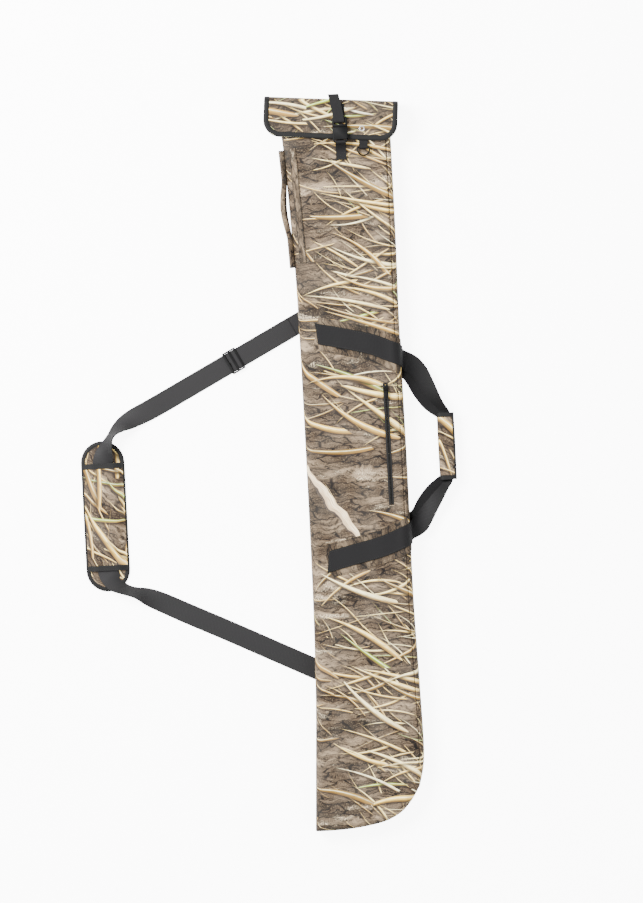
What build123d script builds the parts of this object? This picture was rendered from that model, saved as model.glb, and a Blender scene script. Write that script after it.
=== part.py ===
from build123d import *
import os
from math import atan2, cos, degrees, radians, sin

# A padded, camouflaged long-gun case lying on its back panel.
# Millimetres.  +Z is up through the thickness, +Y points to the flap and mouth,
# +X points to the side with the carry handles.  The origin is on the resting
# face of the back panel.

# ---------------------------------------------------------------- case body
case_height = 48.0
left_edge = -90.0
right_edge = 96.0
mouth_y = 645.0
toe_y = -676.0
waist_top_y = 312.0
waist_low_y = -247.0
mouth_flare = 6.0
toe_flare = 11.0
toe_sweep_radius = 100.0
toe_rise = 12.0
toe_step = 5.0
waist_step = 2.0
skin = 1.2
foam = 8.6
lining = 0.8
gusset = 6.0

# ---------------------------------------------------------------- flap
fold_centre_x = -10.5
fold_reach = 36.0
fold_centre_y = mouth_y + fold_reach
fold_skew = -5.1
flap_width = 245.0
flap_depth = 70.0
flap_corner = 30.0
flap_gap = 3.4
flap_layer = 1.5
bridge_thickness = 3.0
binding_width = 9.5
binding_thickness = 3.6
eyelet_x = 45.3
eyelet_y = fold_centre_y - 54.4
eyelet_bore = 3.25
eyelet_flange = 5.2
eyelet_rim = 0.7

# ---------------------------------------------------------------- webbing
wide_webbing = 38.0
narrow_webbing = 20.0
webbing = 2.0
thin_webbing = 1.4
patch_border = 12.0
patch = 1.2

# ---------------------------------------------------------------- buckle
buckle_x = 4.5
buckle_width = 28.0
buckle_height = 9.0
female_low_y = fold_centre_y - 79.0
female_length = 29.0
shell_wall = 1.6
shell_corner = 5.0
solid_end = 8.0
tab_slot = 3.4
button_start = 14.0
button_end = 22.0
guide_half = 1.6
ladder_start = 4.7
arm_width = 3.2
arm_height = 4.6
ladder_length = 18.0
bar = 2.6
bar_height = 2.4
tab_sewn_y = female_low_y - 32.0
tail_reach = 58.0
tail_lean = -8.0

# ---------------------------------------------------------------- D-ring
ring_x = 46.6
ring_bar_y = fold_centre_y - 89.0
ring_drop = 15.0
ring_width = 24.0
ring_wire = 3.0
ring_tab_width = 16.0

# ---------------------------------------------------------------- side grab handle
grab_length = 218.0
grab_top_y = mouth_y - 51.0
grab_low_y = grab_top_y - grab_length
grab_sewn = 54.0
grab_thickness = 6.0
grab_depth = 28.0
grab_bow = 8.5

# ---------------------------------------------------------------- carry handles
upper_end = (-59.0, 250.0)
upper_edge_y = 202.0
lower_end = (-59.0, -175.0)
lower_edge_y = -130.0
wrap_x = 173.0
wrap_y = 29.0
wrap_width = 31.0
wrap_length = 125.0
wrap_height = 24.0
wrap_floor_gap = 3.0
wrap_skin = 2.6
wrap_binding = 9.0

# ---------------------------------------------------------------- zip pocket
zip_x = 64.0
zip_top_y = 152.0
zip_length = 227.0
tape_width = 10.0
coil_width = 3.4
tape_thickness = 1.0
coil_height = 2.0
slider_width = 8.0
slider_length = 12.0
slider_height = 4.4
pull_length = 16.0
pull_width = 5.0
pull_thickness = 1.2
pocket_width = 110.0
pocket_depth = 215.0

# ---------------------------------------------------------------- shoulder strap
strap_top_y = 274.0
strap_low_y = -374.0
pad_x = -471.0
pad_y = -69.0
pad_length = 281.0
pad_width = 80.5
pad_height = 12.0
pad_band = 10.0
glide_reach = 142.0
glide_length = 27.0
glide_width = wide_webbing + 6.0
glide_bar = 4.0
anchor_length = 26.0

# ---------------------------------------------------------------- clearances
gap = 0.3
pin_gap = 0.4
layer_gap = 0.2
hinge_room = 1.8

face_z = case_height
case_middle_x = (left_edge + right_edge) / 2
beyond = mouth_y - toe_y


def save(name, shape):
    export_step(shape, f"parts/{name}.step")


def slab(face, low, high):
    """A plan outline raised from one height to another."""
    return Pos(0, 0, low) * extrude(face, amount=high - low)


def block(x0, x1, y0, y1, z0, z1):
    return Pos((x0 + x1) / 2, (y0 + y1) / 2, (z0 + z1) / 2) * Box(x1 - x0, y1 - y0, z1 - z0)


def band(points, width):
    """Plan outline of webbing of one width that follows a line of points."""
    return make_face(Polyline(*left_and_right(points, width), close=True))


def left_and_right(points, width):
    """The two long edges of a band, as one closed run of corners."""
    vectors = [Vector(*p) for p in points]
    left, right = [], []
    for i, p in enumerate(vectors):
        before = (p - vectors[i - 1]).normalized() if i else None
        after = (vectors[i + 1] - p).normalized() if i + 1 < len(vectors) else None
        along = ((before or after) + (after or before)).normalized()
        across = Vector(-along.Y, along.X, 0)
        stretch = 1 / along.dot(after or before)
        left.append(p + across * width / 2 * stretch)
        right.append(p - across * width / 2 * stretch)
    return left + right[::-1]


def case_plan(inset=0.0):
    """Plan of the case: waisted sides, a square left toe corner and a swept right one."""
    plan = make_face(Polyline(
        (right_edge - inset, mouth_y),
        (left_edge - mouth_flare + inset, mouth_y),
        (left_edge + inset, waist_top_y),
        (left_edge + inset, waist_low_y),
        (left_edge - toe_flare + inset, toe_y + inset),
        (right_edge + toe_step - inset, toe_y + toe_rise + inset),
        (right_edge - waist_step - inset, waist_low_y),
        close=True,
    ))
    corner = plan.vertices().sort_by(Axis.Y)[1]
    return fillet(corner, toe_sweep_radius - inset)


def case_panels(relief, slot):
    """Outer skins, foam sheets and linings, front and back, and the edge walls."""
    outer = case_plan()
    inner = case_plan(gusset)
    wall = skin + foam + lining
    back = {
        "back_shell": slab(outer, 0, skin) - relief,
        "back_foam": slab(inner, skin, skin + foam) - relief,
        "back_lining": slab(inner, skin + foam, wall),
    }
    front = {
        "front_shell": slab(outer, face_z - skin, face_z) - slot,
        "front_foam": slab(inner, face_z - skin - foam, face_z - skin) - slot,
        "front_lining": slab(inner, face_z - wall, face_z - skin - foam),
    }
    ring = slab(outer - inner, skin, face_z - skin) - relief
    toe_line = toe_y + 60
    cut = mouth_y + 1
    left_low = ring & block(-beyond, case_middle_x, toe_line, waist_top_y, 0, face_z)
    left_high = ring & block(-beyond, case_middle_x, waist_top_y, cut, 0, face_z)
    right = ring & block(case_middle_x, beyond, toe_line, cut, 0, face_z)
    toe = ring & block(-beyond, beyond, toe_y - 50, toe_line, 0, face_z)
    walls = {
        "left_edge_wall": left_low,
        "left_handle_wall": left_high,
        "right_edge_wall": right,
        "toe_wall": toe,
    }
    return {**back, **front, **walls}


# ---------------------------------------------------------------- flap
fold_clear = 1.2
flap_low = face_z + flap_gap
flap_mid = flap_low + flap_layer
flap_top = flap_low + 2 * flap_layer
bridge_top = flap_low - hinge_room
hinge_low_z = 1.5
bridge_low = hinge_low_z + hinge_room


def on_flap(shape):
    """Moves a shape from the flap's own place, fold along X at Y 0, to the case."""
    return Pos(fold_centre_x, fold_centre_y, 0) * Rot(0, 0, fold_skew) * shape


def flap_outline(inset=0.0):
    half = flap_width / 2 - inset
    low = -flap_depth + inset
    radius = flap_corner - inset
    corners = [(half, -fold_clear), (-half, -fold_clear), (-half, low), (half, low)]
    face = make_face(Polyline(*corners, close=True))
    low_corners = face.vertices().sort_by(Axis.Y)[:2]
    return fillet(low_corners, radius)


def eyelet_hole(radius):
    height = 20
    return Pos(eyelet_x, eyelet_y, flap_mid) * Cylinder(radius, height)


def flap_parts():
    panel_plan = flap_outline(binding_width + gap / 3)
    rim_plan = flap_outline() - flap_outline(binding_width)
    barrel = eyelet_bore + eyelet_rim
    panel = on_flap(slab(panel_plan, flap_mid, flap_top)) - eyelet_hole(barrel)
    inside = on_flap(slab(panel_plan, flap_low, flap_mid)) - eyelet_hole(barrel)
    extra = (binding_thickness - 2 * flap_layer) / 2
    rim = on_flap(slab(rim_plan, flap_low - extra, flap_top + extra))
    half = flap_width / 2
    bridge = on_flap(block(-half, half, 0, bridge_thickness, bridge_low, bridge_top))
    root_half = half - 3
    root = on_flap(block(-root_half, root_half, -60, -fold_clear, 0, 2 * flap_layer))
    root -= block(-beyond, beyond, 0, mouth_y, -1, face_z)
    ring_height = 2 * flap_layer + 2 * eyelet_rim
    flange = Pos(eyelet_x, eyelet_y, flap_mid) * Cylinder(eyelet_flange, ring_height)
    waist = Pos(eyelet_x, eyelet_y, flap_mid) * (
        Cylinder(eyelet_flange + 1, 2 * flap_layer) - Cylinder(barrel, 2 * flap_layer)
    )
    eyelet = flange - waist - eyelet_hole(eyelet_bore)
    return {
        "flap_panel": panel,
        "flap_lining": inside,
        "flap_binding": rim,
        "flap_bridge": bridge,
        "flap_root": root,
        "hang_eyelet": eyelet,
    }


# ---------------------------------------------------------------- closure
buckle_low = flap_top + (binding_thickness - 2 * flap_layer) / 2 + gap
buckle_high = buckle_low + buckle_height
female_high_y = female_low_y + female_length
male_low_y = female_high_y + gap
ladder_low_y = male_low_y + ladder_start
ladder_high_y = male_low_y + ladder_length
strap_base_top = buckle_low + thin_webbing
leg_low = strap_base_top + gap
leg_top = leg_low + thin_webbing
bar_low = leg_top + gap
tail_low = bar_low + bar_height + gap
tail_top = tail_low + thin_webbing
arm_middle_z = (buckle_low + buckle_high) / 2
centre_bar_y = ladder_low_y + 5.0


def at_buckle(x0, x1, y0, y1, z0, z1):
    return block(buckle_x + x0, buckle_x + x1, y0, y1, z0, z1)


def buckle_female():
    half = buckle_width / 2
    shell = at_buckle(-half, half, female_low_y, female_high_y, buckle_low, buckle_high)
    shell = fillet(shell.edges().filter_by(Axis.Z).sort_by(Axis.Y)[:2], shell_corner)
    inside = half - shell_wall
    room_low_y = female_low_y + solid_end
    low = buckle_low + shell_wall
    high = buckle_high - shell_wall
    shell -= at_buckle(-inside, inside, room_low_y, female_high_y + 1, low, high)
    window = female_low_y + button_start - 1, female_low_y + button_end + 1
    shell -= at_buckle(-half - 1, half + 1, *window, low, high)
    slot_half = narrow_webbing / 2 + gap
    slot_y = female_low_y + bar
    slot = at_buckle(-slot_half, slot_half, slot_y, slot_y + tab_slot, buckle_low - 1, buckle_high + 1)
    return shell - slot


def buckle_male():
    half = buckle_width / 2
    base = at_buckle(-half, half, male_low_y, ladder_low_y, leg_low, buckle_high)
    rail = half - narrow_webbing / 2 - gap
    arm_z = arm_middle_z - arm_height / 2, arm_middle_z + arm_height / 2
    frame = base
    for side in (-1, 1):
        edge = sorted((side * half, side * (half - rail)))
        frame += at_buckle(*edge, ladder_low_y, ladder_high_y, leg_low, tail_low - gap)
        arm_out = half - shell_wall - 1.0
        arm = sorted((side * arm_out, side * (arm_out - arm_width)))
        frame += at_buckle(*arm, female_low_y + solid_end + 2, male_low_y, *arm_z)
        button = sorted((side * (half - shell_wall - gap), side * (arm_out - 0.5)))
        frame += at_buckle(*button, female_low_y + button_start, female_low_y + button_end, *arm_z)
    frame += at_buckle(-guide_half, guide_half, female_low_y + solid_end + 4, male_low_y, *arm_z)
    bar_top = bar_low + bar_height
    for y in (centre_bar_y, ladder_high_y - bar):
        frame += at_buckle(-half + rail / 2, half - rail / 2, y, y + bar, bar_low, bar_top)
    return frame


def closure_strap():
    """The part sewn on the flap, and the end that is threaded round the ladder bar."""
    half = narrow_webbing / 2
    base = at_buckle(-half, half, ladder_low_y + 9, fold_centre_y - 6, buckle_low, strap_base_top)
    turn_z = (leg_low + tail_top) / 2
    outer = (tail_top - leg_low) / 2
    turn_y = centre_bar_y + 0.5
    leg_end = ladder_high_y + 2
    loop = at_buckle(-half, half, turn_y, leg_end, leg_low, leg_top)
    bend = Pos(buckle_x, turn_y, turn_z) * Rot(0, 90, 0) * Cylinder(outer, narrow_webbing)
    bore_radius = outer - thin_webbing
    bore = Pos(buckle_x, turn_y, turn_z) * Rot(0, 90, 0) * Cylinder(bore_radius, narrow_webbing)
    bend = (bend - bore) & at_buckle(-half, half, turn_y - outer, turn_y, leg_low, tail_top)
    tail_plan = band([(buckle_x, turn_y, 0), (buckle_x - 2, turn_y + 20, 0),
                      (buckle_x + tail_lean, turn_y + tail_reach, 0)], narrow_webbing)
    tail = slab(tail_plan, tail_low, tail_top)
    return base, loop + bend + tail


def buckle_tab():
    """Webbing sewn to the front panel, ramped up over the flap edge and round the bar."""
    half = narrow_webbing / 2 - gap
    bar_y = female_low_y
    profile = Polyline(
        (0, tab_sewn_y, face_z),
        (0, bar_y - 8, face_z),
        (0, bar_y - 1.5, arm_middle_z - 4),
        (0, bar_y - 0.4, buckle_low - 1.6),
        (0, bar_y + bar + 3.0, buckle_low - 1.6),
        (0, bar_y + bar + 3.0, buckle_high + 1.6),
        (0, bar_y - 1.8, buckle_high + 1.6),
        (0, bar_y - 12, face_z + 2 * thin_webbing),
        (0, tab_sewn_y, face_z + 2 * thin_webbing),
        close=True,
    )
    tab = extrude(Pos(buckle_x - half, 0, 0) * make_face(profile), amount=2 * half, dir=(1, 0, 0))
    eye = at_buckle(-half - 1, half + 1, bar_y - gap, bar_y + bar + gap,
                    buckle_low - gap, buckle_high + gap)
    return tab - eye


# ---------------------------------------------------------------- D-ring
ring_z = face_z + thin_webbing + gap + ring_wire / 2


def d_ring():
    """A closed ring: a straight bar along X and a round bow towards the toe."""
    half = (ring_width - ring_wire) / 2
    left = (ring_x - half, ring_bar_y, ring_z)
    right = (ring_x + half, ring_bar_y, ring_z)
    low = (ring_x, ring_bar_y - ring_drop, ring_z)
    bow = sweep(Plane(left, z_dir=(0, -1, 0)) * Circle(ring_wire / 2), ThreePointArc(left, low, right))
    straight = Pos(ring_x, ring_bar_y, ring_z) * Rot(0, 90, 0) * Cylinder(ring_wire / 2, 2 * half)
    corners = [Pos(*p) * Sphere(ring_wire / 2) for p in (left, right)]
    return bow + straight + corners


def d_ring_tab():
    """A short loop of webbing round the ring's bar, sewn down under the flap edge."""
    half = ring_tab_width / 2
    bore = ring_wire / 2 + pin_gap
    outer = bore + thin_webbing
    sewn = block(ring_x - half, ring_x + half, ring_bar_y, ring_bar_y + 26, face_z, ring_z + outer)
    nose = Pos(ring_x, ring_bar_y, ring_z) * Rot(0, 90, 0) * Cylinder(outer, ring_tab_width)
    eye = Pos(ring_x, ring_bar_y, ring_z) * Rot(0, 90, 0) * Cylinder(bore, ring_tab_width)
    sky = ring_z + 2 * outer
    above = block(ring_x - half, ring_x + half, ring_bar_y + 8, ring_bar_y + 27,
                  face_z + 2 * thin_webbing, sky)
    keep = block(-beyond, beyond, ring_bar_y - beyond, ring_bar_y + beyond, face_z, sky)
    return ((sewn + nose) & keep) - eye - above


# ---------------------------------------------------------------- side grab handle
def wall_x(y):
    """Where the left wall stands, between the waist and the mouth."""
    share = (y - waist_top_y) / (mouth_y - waist_top_y)
    return left_edge - mouth_flare * share


def grab_handle():
    """Two ends sewn to the left wall and a free loop that bows out between them."""
    low_z = (face_z - grab_depth) / 2
    ends = [grab_low_y, grab_low_y + grab_sewn, grab_top_y - grab_sewn, grab_top_y]
    inner = [(wall_x(y), y) for y in ends]
    outer = [(x - grab_thickness, y) for x, y in inner]

    def strip(near, far):
        plan = make_face(Polyline(*near, *far[::-1], close=True))
        return slab(plan, low_z, low_z + grab_depth)

    lower = strip(inner[:2], outer[:2])
    upper = strip(inner[2:], outer[2:])
    (x0, y0), (x1, y1) = inner[1], inner[2]
    middle_y = (y0 + y1) / 2
    middle_x = (x0 + x1) / 2 - grab_bow
    x0, x1 = x0 - gap, x1 - gap
    near = ThreePointArc((x0, y0), (middle_x, middle_y), (x1, y1))
    far = ThreePointArc((x0 - grab_thickness, y0), (middle_x - grab_thickness, middle_y),
                        (x1 - grab_thickness, y1))
    loop = make_face(Wire([*near.edges(), *far.edges(),
                           *Polyline(near @ 0, far @ 0).edges(), *Polyline(near @ 1, far @ 1).edges()]))
    return lower, upper, slab(loop, low_z, low_z + grab_depth)


# ---------------------------------------------------------------- carry handles
def sewn_line(end, edge_y):
    """Middle line of a sewn strip: from its end near the centre to the right edge."""
    bend_x = right_edge * 0.45
    share = (bend_x - end[0]) / (right_edge - end[0])
    bend_y = end[1] + (edge_y - end[1]) * share * 0.8
    return [(*end, 0), (bend_x, bend_y, 0), (right_edge + 12, edge_y + (edge_y - bend_y) * 0.24, 0)]


handle_lines = {
    "upper": sewn_line(upper_end, upper_edge_y),
    "lower": sewn_line(lower_end, lower_edge_y),
}


def handle_strip(line, low, high, drop_low, drop_high):
    """Webbing sewn across a panel and turned over the right edge wall."""
    plan = band(line, wide_webbing)
    across = slab(plan & case_plan(), low, high)
    turned = slab(plan & (case_plan(-webbing) - case_plan()), drop_low, drop_high)
    return across + turned


def handle_patch(line, low, high):
    return slab(band(line, wide_webbing + 2 * patch_border) & case_plan(gap), low, high)


wrap_low = wrap_floor_gap
wrap_high = wrap_low + wrap_height
wrap_left = wrap_x - wrap_width / 2
wrap_right = wrap_x + wrap_width / 2
wrap_low_y = wrap_y - wrap_length / 2
wrap_high_y = wrap_y + wrap_length / 2
root_x = right_edge + 15
run_offset = webbing / 2 + gap
run_reach = run_offset + webbing / 2
run_width = 22.0
run_middle_x = wrap_x - 0.5
grip_middle_z = (wrap_low + wrap_high) / 2


def station(x, y, z, width, turn):
    """A cross-section of webbing: its place, its width and its heading in plan."""
    plane = Plane(origin=(x, y, z), x_dir=(cos(radians(turn + 90)), sin(radians(turn + 90)), 0),
                  z_dir=(cos(radians(turn)), sin(radians(turn)), 0))
    return plane * Rectangle(width, webbing)


def handle_loop(z, inward):
    """One run of webbing from root to root, straight through the grip wrap."""
    centre_x = run_middle_x
    inside = run_width

    def run(side):
        edge_y = (upper_edge_y - 14) if side > 0 else (lower_edge_y + 14)
        edge_y -= side * inward
        end_y = wrap_y + side * (wrap_length / 2 + gap)
        middle = ((root_x + centre_x) / 2 + 8, (edge_y + end_y) / 2 + side * 6)
        heading = -side * 52
        return loft([
            station(root_x, edge_y, grip_middle_z + z, wide_webbing * 0.8, -side * 30),
            station(*middle, grip_middle_z + z, wide_webbing * 0.72, heading),
            station(centre_x, end_y, grip_middle_z + z, inside, -side * 90),
        ], ruled=True)

    middle_run = block(centre_x - inside / 2, centre_x + inside / 2, wrap_low_y - gap, wrap_high_y + gap,
                       grip_middle_z + z - webbing / 2, grip_middle_z + z + webbing / 2)
    return run(1) + middle_run + run(-1)


def grip_wrap():
    """A padded sleeve: a tray under the webbing, and a cover hinged on its left side."""
    split = wrap_high - 7.0
    bound_low = wrap_low_y + wrap_binding
    bound_high = wrap_high_y - wrap_binding

    def ring(y0, y1, shrink):
        outer = block(wrap_left + shrink, wrap_right - shrink, y0, y1, wrap_low + shrink, wrap_high - shrink)
        hollow = block(wrap_left + wrap_skin, wrap_right - wrap_skin, y0, y1, wrap_low + wrap_skin,
                       wrap_high - wrap_skin)
        return outer - hollow

    under = block(wrap_left, wrap_right, wrap_low_y, wrap_high_y, wrap_low, split)
    above = block(wrap_left, wrap_right, wrap_low_y, wrap_high_y, split + gap, wrap_high)
    middle = ring(bound_low, bound_high, 0.4)
    ends = ring(wrap_low_y, bound_low, 0) + ring(bound_high, wrap_high_y, 0)
    strip_z = wrap_high - wrap_skin - gap
    hook = block(wrap_right - wrap_skin - 9, wrap_right - wrap_skin - gap, bound_low, bound_high,
                 strip_z - 1.2, strip_z)
    return middle & under, ends & under, middle & above, ends & above, hook


def grip_filler():
    """Foam inside the sleeve, slotted for the two runs of webbing."""
    room = wrap_skin + gap
    foam_block = block(wrap_left + room, wrap_right - room, wrap_low_y + 2, wrap_high_y - 2,
                       wrap_low + room, grip_middle_z + run_reach + 1.1)
    side = run_width / 2 + gap
    slot = block(run_middle_x - side, run_middle_x + side, wrap_low_y, wrap_high_y,
                 grip_middle_z - run_reach - 0.8, wrap_high)
    return foam_block - slot


# ---------------------------------------------------------------- zip pocket
def zip_block(x0, x1, y0, y1, z0, z1):
    return block(zip_x + x0, zip_x + x1, zip_top_y - zip_length + y0, zip_top_y - zip_length + y1, z0, z1)


tape_low = face_z - skin
tape_high = tape_low + tape_thickness
coil_low = tape_low - 0.5
coil_high = coil_low + coil_height
slider_y = zip_length - 18.0
lug_inside = 2.2
pin_radius = 0.8
pin_y = slider_y + slider_length / 2
pin_z = tape_high + gap + slider_height + 2.6


def zipper():
    half = tape_width / 2
    coil = coil_width / 2
    teeth = zip_block(-coil, coil, 3, zip_length - 3, coil_low, coil_high)
    left = zip_block(-half, -coil, 0, zip_length, tape_low, tape_high)
    right = zip_block(coil, half, 0, zip_length, tape_low, tape_high)
    stops = [zip_block(-coil, coil, y, y + 2.6, coil_low, coil_high) for y in (0, zip_length - 2.6)]
    reach = slider_width / 2
    base_z = tape_high + gap
    body = zip_block(-reach, reach, slider_y, slider_y + slider_length, base_z, base_z + slider_height)
    body -= zip_block(-coil - gap, coil + gap, slider_y - 1, slider_y + slider_length + 1, 0, coil_high + gap)
    for side in (-1, 1):
        lug = sorted((side * lug_inside, side * (lug_inside + 1.0)))
        body += zip_block(*lug, pin_y - 1.6, pin_y + 1.6, base_z + slider_height, pin_z + 1.4)
    at_pin = Pos(zip_x, zip_top_y - zip_length + pin_y, pin_z) * Rot(0, 90, 0)
    pin = at_pin * Cylinder(pin_radius, 2 * lug_inside)
    return left, right, teeth, Compound(children=stops), body + pin


def zip_pull():
    """A flat tab with an eye that hangs on the slider's pin."""
    half = pull_width / 2
    eye_half = lug_inside - gap
    knuckle = pin_radius + 1.4
    here = Pos(zip_x, zip_top_y - zip_length + pin_y, pin_z) * Rot(0, 90, 0)
    plate = zip_block(-half, half, pin_y - pull_length, pin_y - 3, pin_z - pull_thickness / 2,
                      pin_z + pull_thickness / 2)
    neck = zip_block(-eye_half, eye_half, pin_y - 4, pin_y, pin_z - pull_thickness / 2,
                     pin_z + pull_thickness / 2)
    return plate + neck + here * Cylinder(knuckle, 2 * eye_half) - here * Cylinder(pin_radius + 0.3, 8)


def pocket_bag():
    """The empty pocket, flat between the front skin and its foam."""
    low_y = zip_top_y - zip_length + 6
    x1 = zip_x + tape_width / 2
    under_skin = face_z - skin
    return block(x1 - pocket_width, x1, low_y, low_y + pocket_depth, under_skin - 2.6, under_skin - 1.2)


# ---------------------------------------------------------------- shoulder strap
strap_axis_x = left_edge - 7.0
strap_axis_z = webbing / 2
strap_end_x = strap_axis_x - 1.5
strap_turn = (-452.0, 87.0)
strap_low_turn = (-405.0, -219.0)
pad_seat = 7.4
pad_web_low = pad_seat + 0.1
pad_web_middle = pad_web_low + webbing / 2
sleeve_top = pad_height
sleeve_high_y = pad_y + pad_length / 2 - 41.5
sleeve_low_y = pad_y - pad_length / 2 + 38.5
upper_root = (left_edge, strap_top_y)
lower_root = (left_edge - 3.0, strap_low_y)


def heading(start, end):
    return degrees(atan2(end[1] - start[1], end[0] - start[0]))


def along(start, end, distance):
    turn = radians(heading(start, end))
    return start[0] + distance * cos(turn), start[1] + distance * sin(turn)


def outside_wall(shape):
    """Trims the strap's root along the hinge line beside the case."""
    return shape - block(strap_end_x, right_edge, -beyond, beyond, -5, 20)


def root_run(start, end, low):
    plan = band([(*along(start, end, -30), 0), (*end, 0)], wide_webbing)
    return outside_wall(slab(plan, low, low + webbing))


def shoulder_strap():
    """Webbing from both anchors to the pad, and straight through the pad's sleeve."""
    turn = heading(upper_root, strap_turn)
    near = along(upper_root, strap_turn, 330)
    upper = root_run(upper_root, near, 0) + loft([
        station(*near, webbing / 2, wide_webbing, turn),
        station(*along(upper_root, strap_turn, 392), pad_web_middle, wide_webbing, turn + 14),
        station(pad_x + 7, pad_y + pad_length / 2 - 10, pad_web_middle, wide_webbing, turn + 46),
        station(pad_x, sleeve_high_y, pad_web_middle, wide_webbing, -90),
    ], ruled=True)
    turn = heading(strap_low_turn, lower_root)
    lower = root_run(lower_root, strap_low_turn, 0) + loft([
        station(pad_x, sleeve_low_y, pad_web_middle, wide_webbing, -90),
        station(pad_x + 8, sleeve_low_y - 26, pad_web_middle, wide_webbing, turn - 40),
        station(strap_low_turn[0] - 24, strap_low_turn[1] + 9, pad_web_middle, wide_webbing, turn - 6),
        station(*strap_low_turn, webbing / 2, wide_webbing, turn),
    ], ruled=True)
    through = block(pad_x - wide_webbing / 2, pad_x + wide_webbing / 2,
                    sleeve_low_y + gap, sleeve_high_y - gap, pad_web_low, pad_web_low + webbing)
    return_end = along(upper_root, strap_turn, glide_reach + glide_length / 2 - 9)
    back = root_run(upper_root, return_end, webbing + layer_gap)
    return upper, lower, through, back


def strap_anchor(start, end):
    """The strap's end, let into the back panel and sewn there."""
    plan = band([(*along(start, end, -anchor_length), 0), (*along(start, end, 20), 0)], wide_webbing)
    return slab(plan & case_plan(), 0, webbing)


def pad_plan(inset=0.0):
    shape = Rectangle(pad_width - 2 * inset, pad_length - 2 * inset)
    return Pos(pad_x, pad_y) * fillet(shape.vertices(), pad_width / 2 - inset - 1)


def pad_parts():
    rim = slab(pad_plan() - pad_plan(binding_width), 0, pad_seat)
    base = slab(pad_plan(binding_width + 0.1), 0, pad_seat)
    half = pad_width / 2 - 2
    web = wide_webbing / 2 + gap
    cover = block(pad_x - half, pad_x + half, sleeve_low_y, sleeve_high_y, pad_seat, sleeve_top)
    cover -= block(pad_x - web, pad_x + web, sleeve_low_y - 1, sleeve_high_y + 1, pad_seat,
                   pad_web_low + webbing + 0.1)
    bands = [block(pad_x - half, pad_x + half, y, y + pad_band, sleeve_top, sleeve_top + 1.2)
             for y in (sleeve_high_y - pad_band, sleeve_low_y)]
    return base, rim, cover, Compound(children=bands)


def tri_glide():
    """A frame whose three bars lie across the two layers of webbing."""
    rail = (glide_width - wide_webbing) / 2 - gap
    low = 2 * webbing + layer_gap + gap
    high = low + 2.2
    frame = Box(glide_length, glide_width, high, align=(Align.CENTER, Align.CENTER, Align.MIN))
    frame -= Box(glide_length + 2, glide_width - 2 * rail, low,
                 align=(Align.CENTER, Align.CENTER, Align.MIN))
    window = (glide_length - 3 * glide_bar) / 2
    shift = (window + glide_bar) / 2
    for x in (-shift, shift):
        frame -= Pos(x, 0, 0) * Box(window, glide_width - 2 * rail, 3 * high)
    frame = fillet(frame.edges().filter_by(Axis.Z).sort_by(SortBy.DISTANCE)[-4:], 2)
    place = along(upper_root, strap_turn, glide_reach)
    return Pos(*place, 0) * Rot(0, 0, heading(upper_root, strap_turn)) * frame


# ---------------------------------------------------------------- all pieces
def main():
    os.makedirs("parts", exist_ok=True)
    anchors = {
        "strap_upper_anchor": strap_anchor(upper_root, strap_turn),
        "strap_lower_anchor": strap_anchor(lower_root, strap_low_turn),
    }
    webbing_pieces, patches, sunk = {}, {}, []
    for name, line in handle_lines.items():
        on_front = handle_strip(line, face_z + patch, face_z + patch + webbing, grip_middle_z + 2,
                                face_z + patch + webbing)
        on_back = handle_strip(line, 0, webbing, 0, grip_middle_z - 2)
        webbing_pieces[f"front_{name}_webbing"] = on_front
        webbing_pieces[f"back_{name}_webbing"] = on_back
        patches[f"front_{name}_patch"] = handle_patch(line, face_z, face_z + patch)
        patches[f"back_{name}_patch"] = handle_patch(line, 0, patch) - on_back
        sunk += [on_back, patches[f"back_{name}_patch"]]
    sunk += list(anchors.values())

    half = tape_width / 2
    bag = pocket_bag()
    bag_room = offset_block(bag, gap)
    slot = zip_block(-half, half, 0, zip_length, coil_low - gap, face_z + 1) + bag_room
    panels = case_panels(sum_of(sunk), slot)
    zipper_names = ("zipper_left_tape", "zipper_right_tape", "zipper_teeth", "zipper_stops",
                    "zipper_slider")
    tapes = dict(zip(zipper_names, zipper()))
    base, tail = closure_strap()
    lower_end, upper_end_piece, loop = grab_handle()
    tray, tray_ends, cover, cover_ends, hook = grip_wrap()
    strap_names = ("strap_upper_webbing", "strap_lower_webbing", "strap_pad_webbing",
                   "strap_return_webbing")
    strap = dict(zip(strap_names, shoulder_strap()))
    pad_names = ("pad_base", "pad_binding", "pad_cover", "pad_cross_bands")
    pad = dict(zip(pad_names, pad_parts()))
    pieces = {
        **panels,
        **flap_parts(),
        **webbing_pieces,
        **patches,
        **anchors,
        **tapes,
        **strap,
        **pad,
        "zipper_pull": zip_pull(),
        "pocket_bag": bag,
        "closure_strap_base": base,
        "closure_strap_tail": tail,
        "buckle_female": buckle_female(),
        "buckle_male": buckle_male(),
        "buckle_tab": buckle_tab(),
        "d_ring": d_ring(),
        "d_ring_tab": d_ring_tab(),
        "grab_handle_lower_end": lower_end,
        "grab_handle_upper_end": upper_end_piece,
        "grab_handle_loop": loop,
        "front_handle_loop": handle_loop(run_offset, 0),
        "rear_handle_loop": handle_loop(-run_offset, 12),
        "grip_wrap_tray": tray,
        "grip_tray_binding": tray_ends,
        "grip_wrap_cover": cover,
        "grip_cover_binding": cover_ends,
        "grip_hook_strip": hook,
        "grip_filler": grip_filler(),
        "tri_glide": tri_glide(),
    }
    for name, shape in pieces.items():
        save(name, shape)
    print(len(pieces), "pieces")


def sum_of(shapes):
    total = shapes[0]
    for shape in shapes[1:]:
        total += shape
    return total


def offset_block(shape, amount):
    """The box of a plain block, grown on every side."""
    box = shape.bounding_box()
    return block(box.min.X - amount, box.max.X + amount, box.min.Y - amount, box.max.Y + amount,
                 box.min.Z - amount, box.max.Z + amount)


main()
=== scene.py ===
import math

import bmesh
import bpy
import numpy as np
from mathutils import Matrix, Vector, noise


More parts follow.
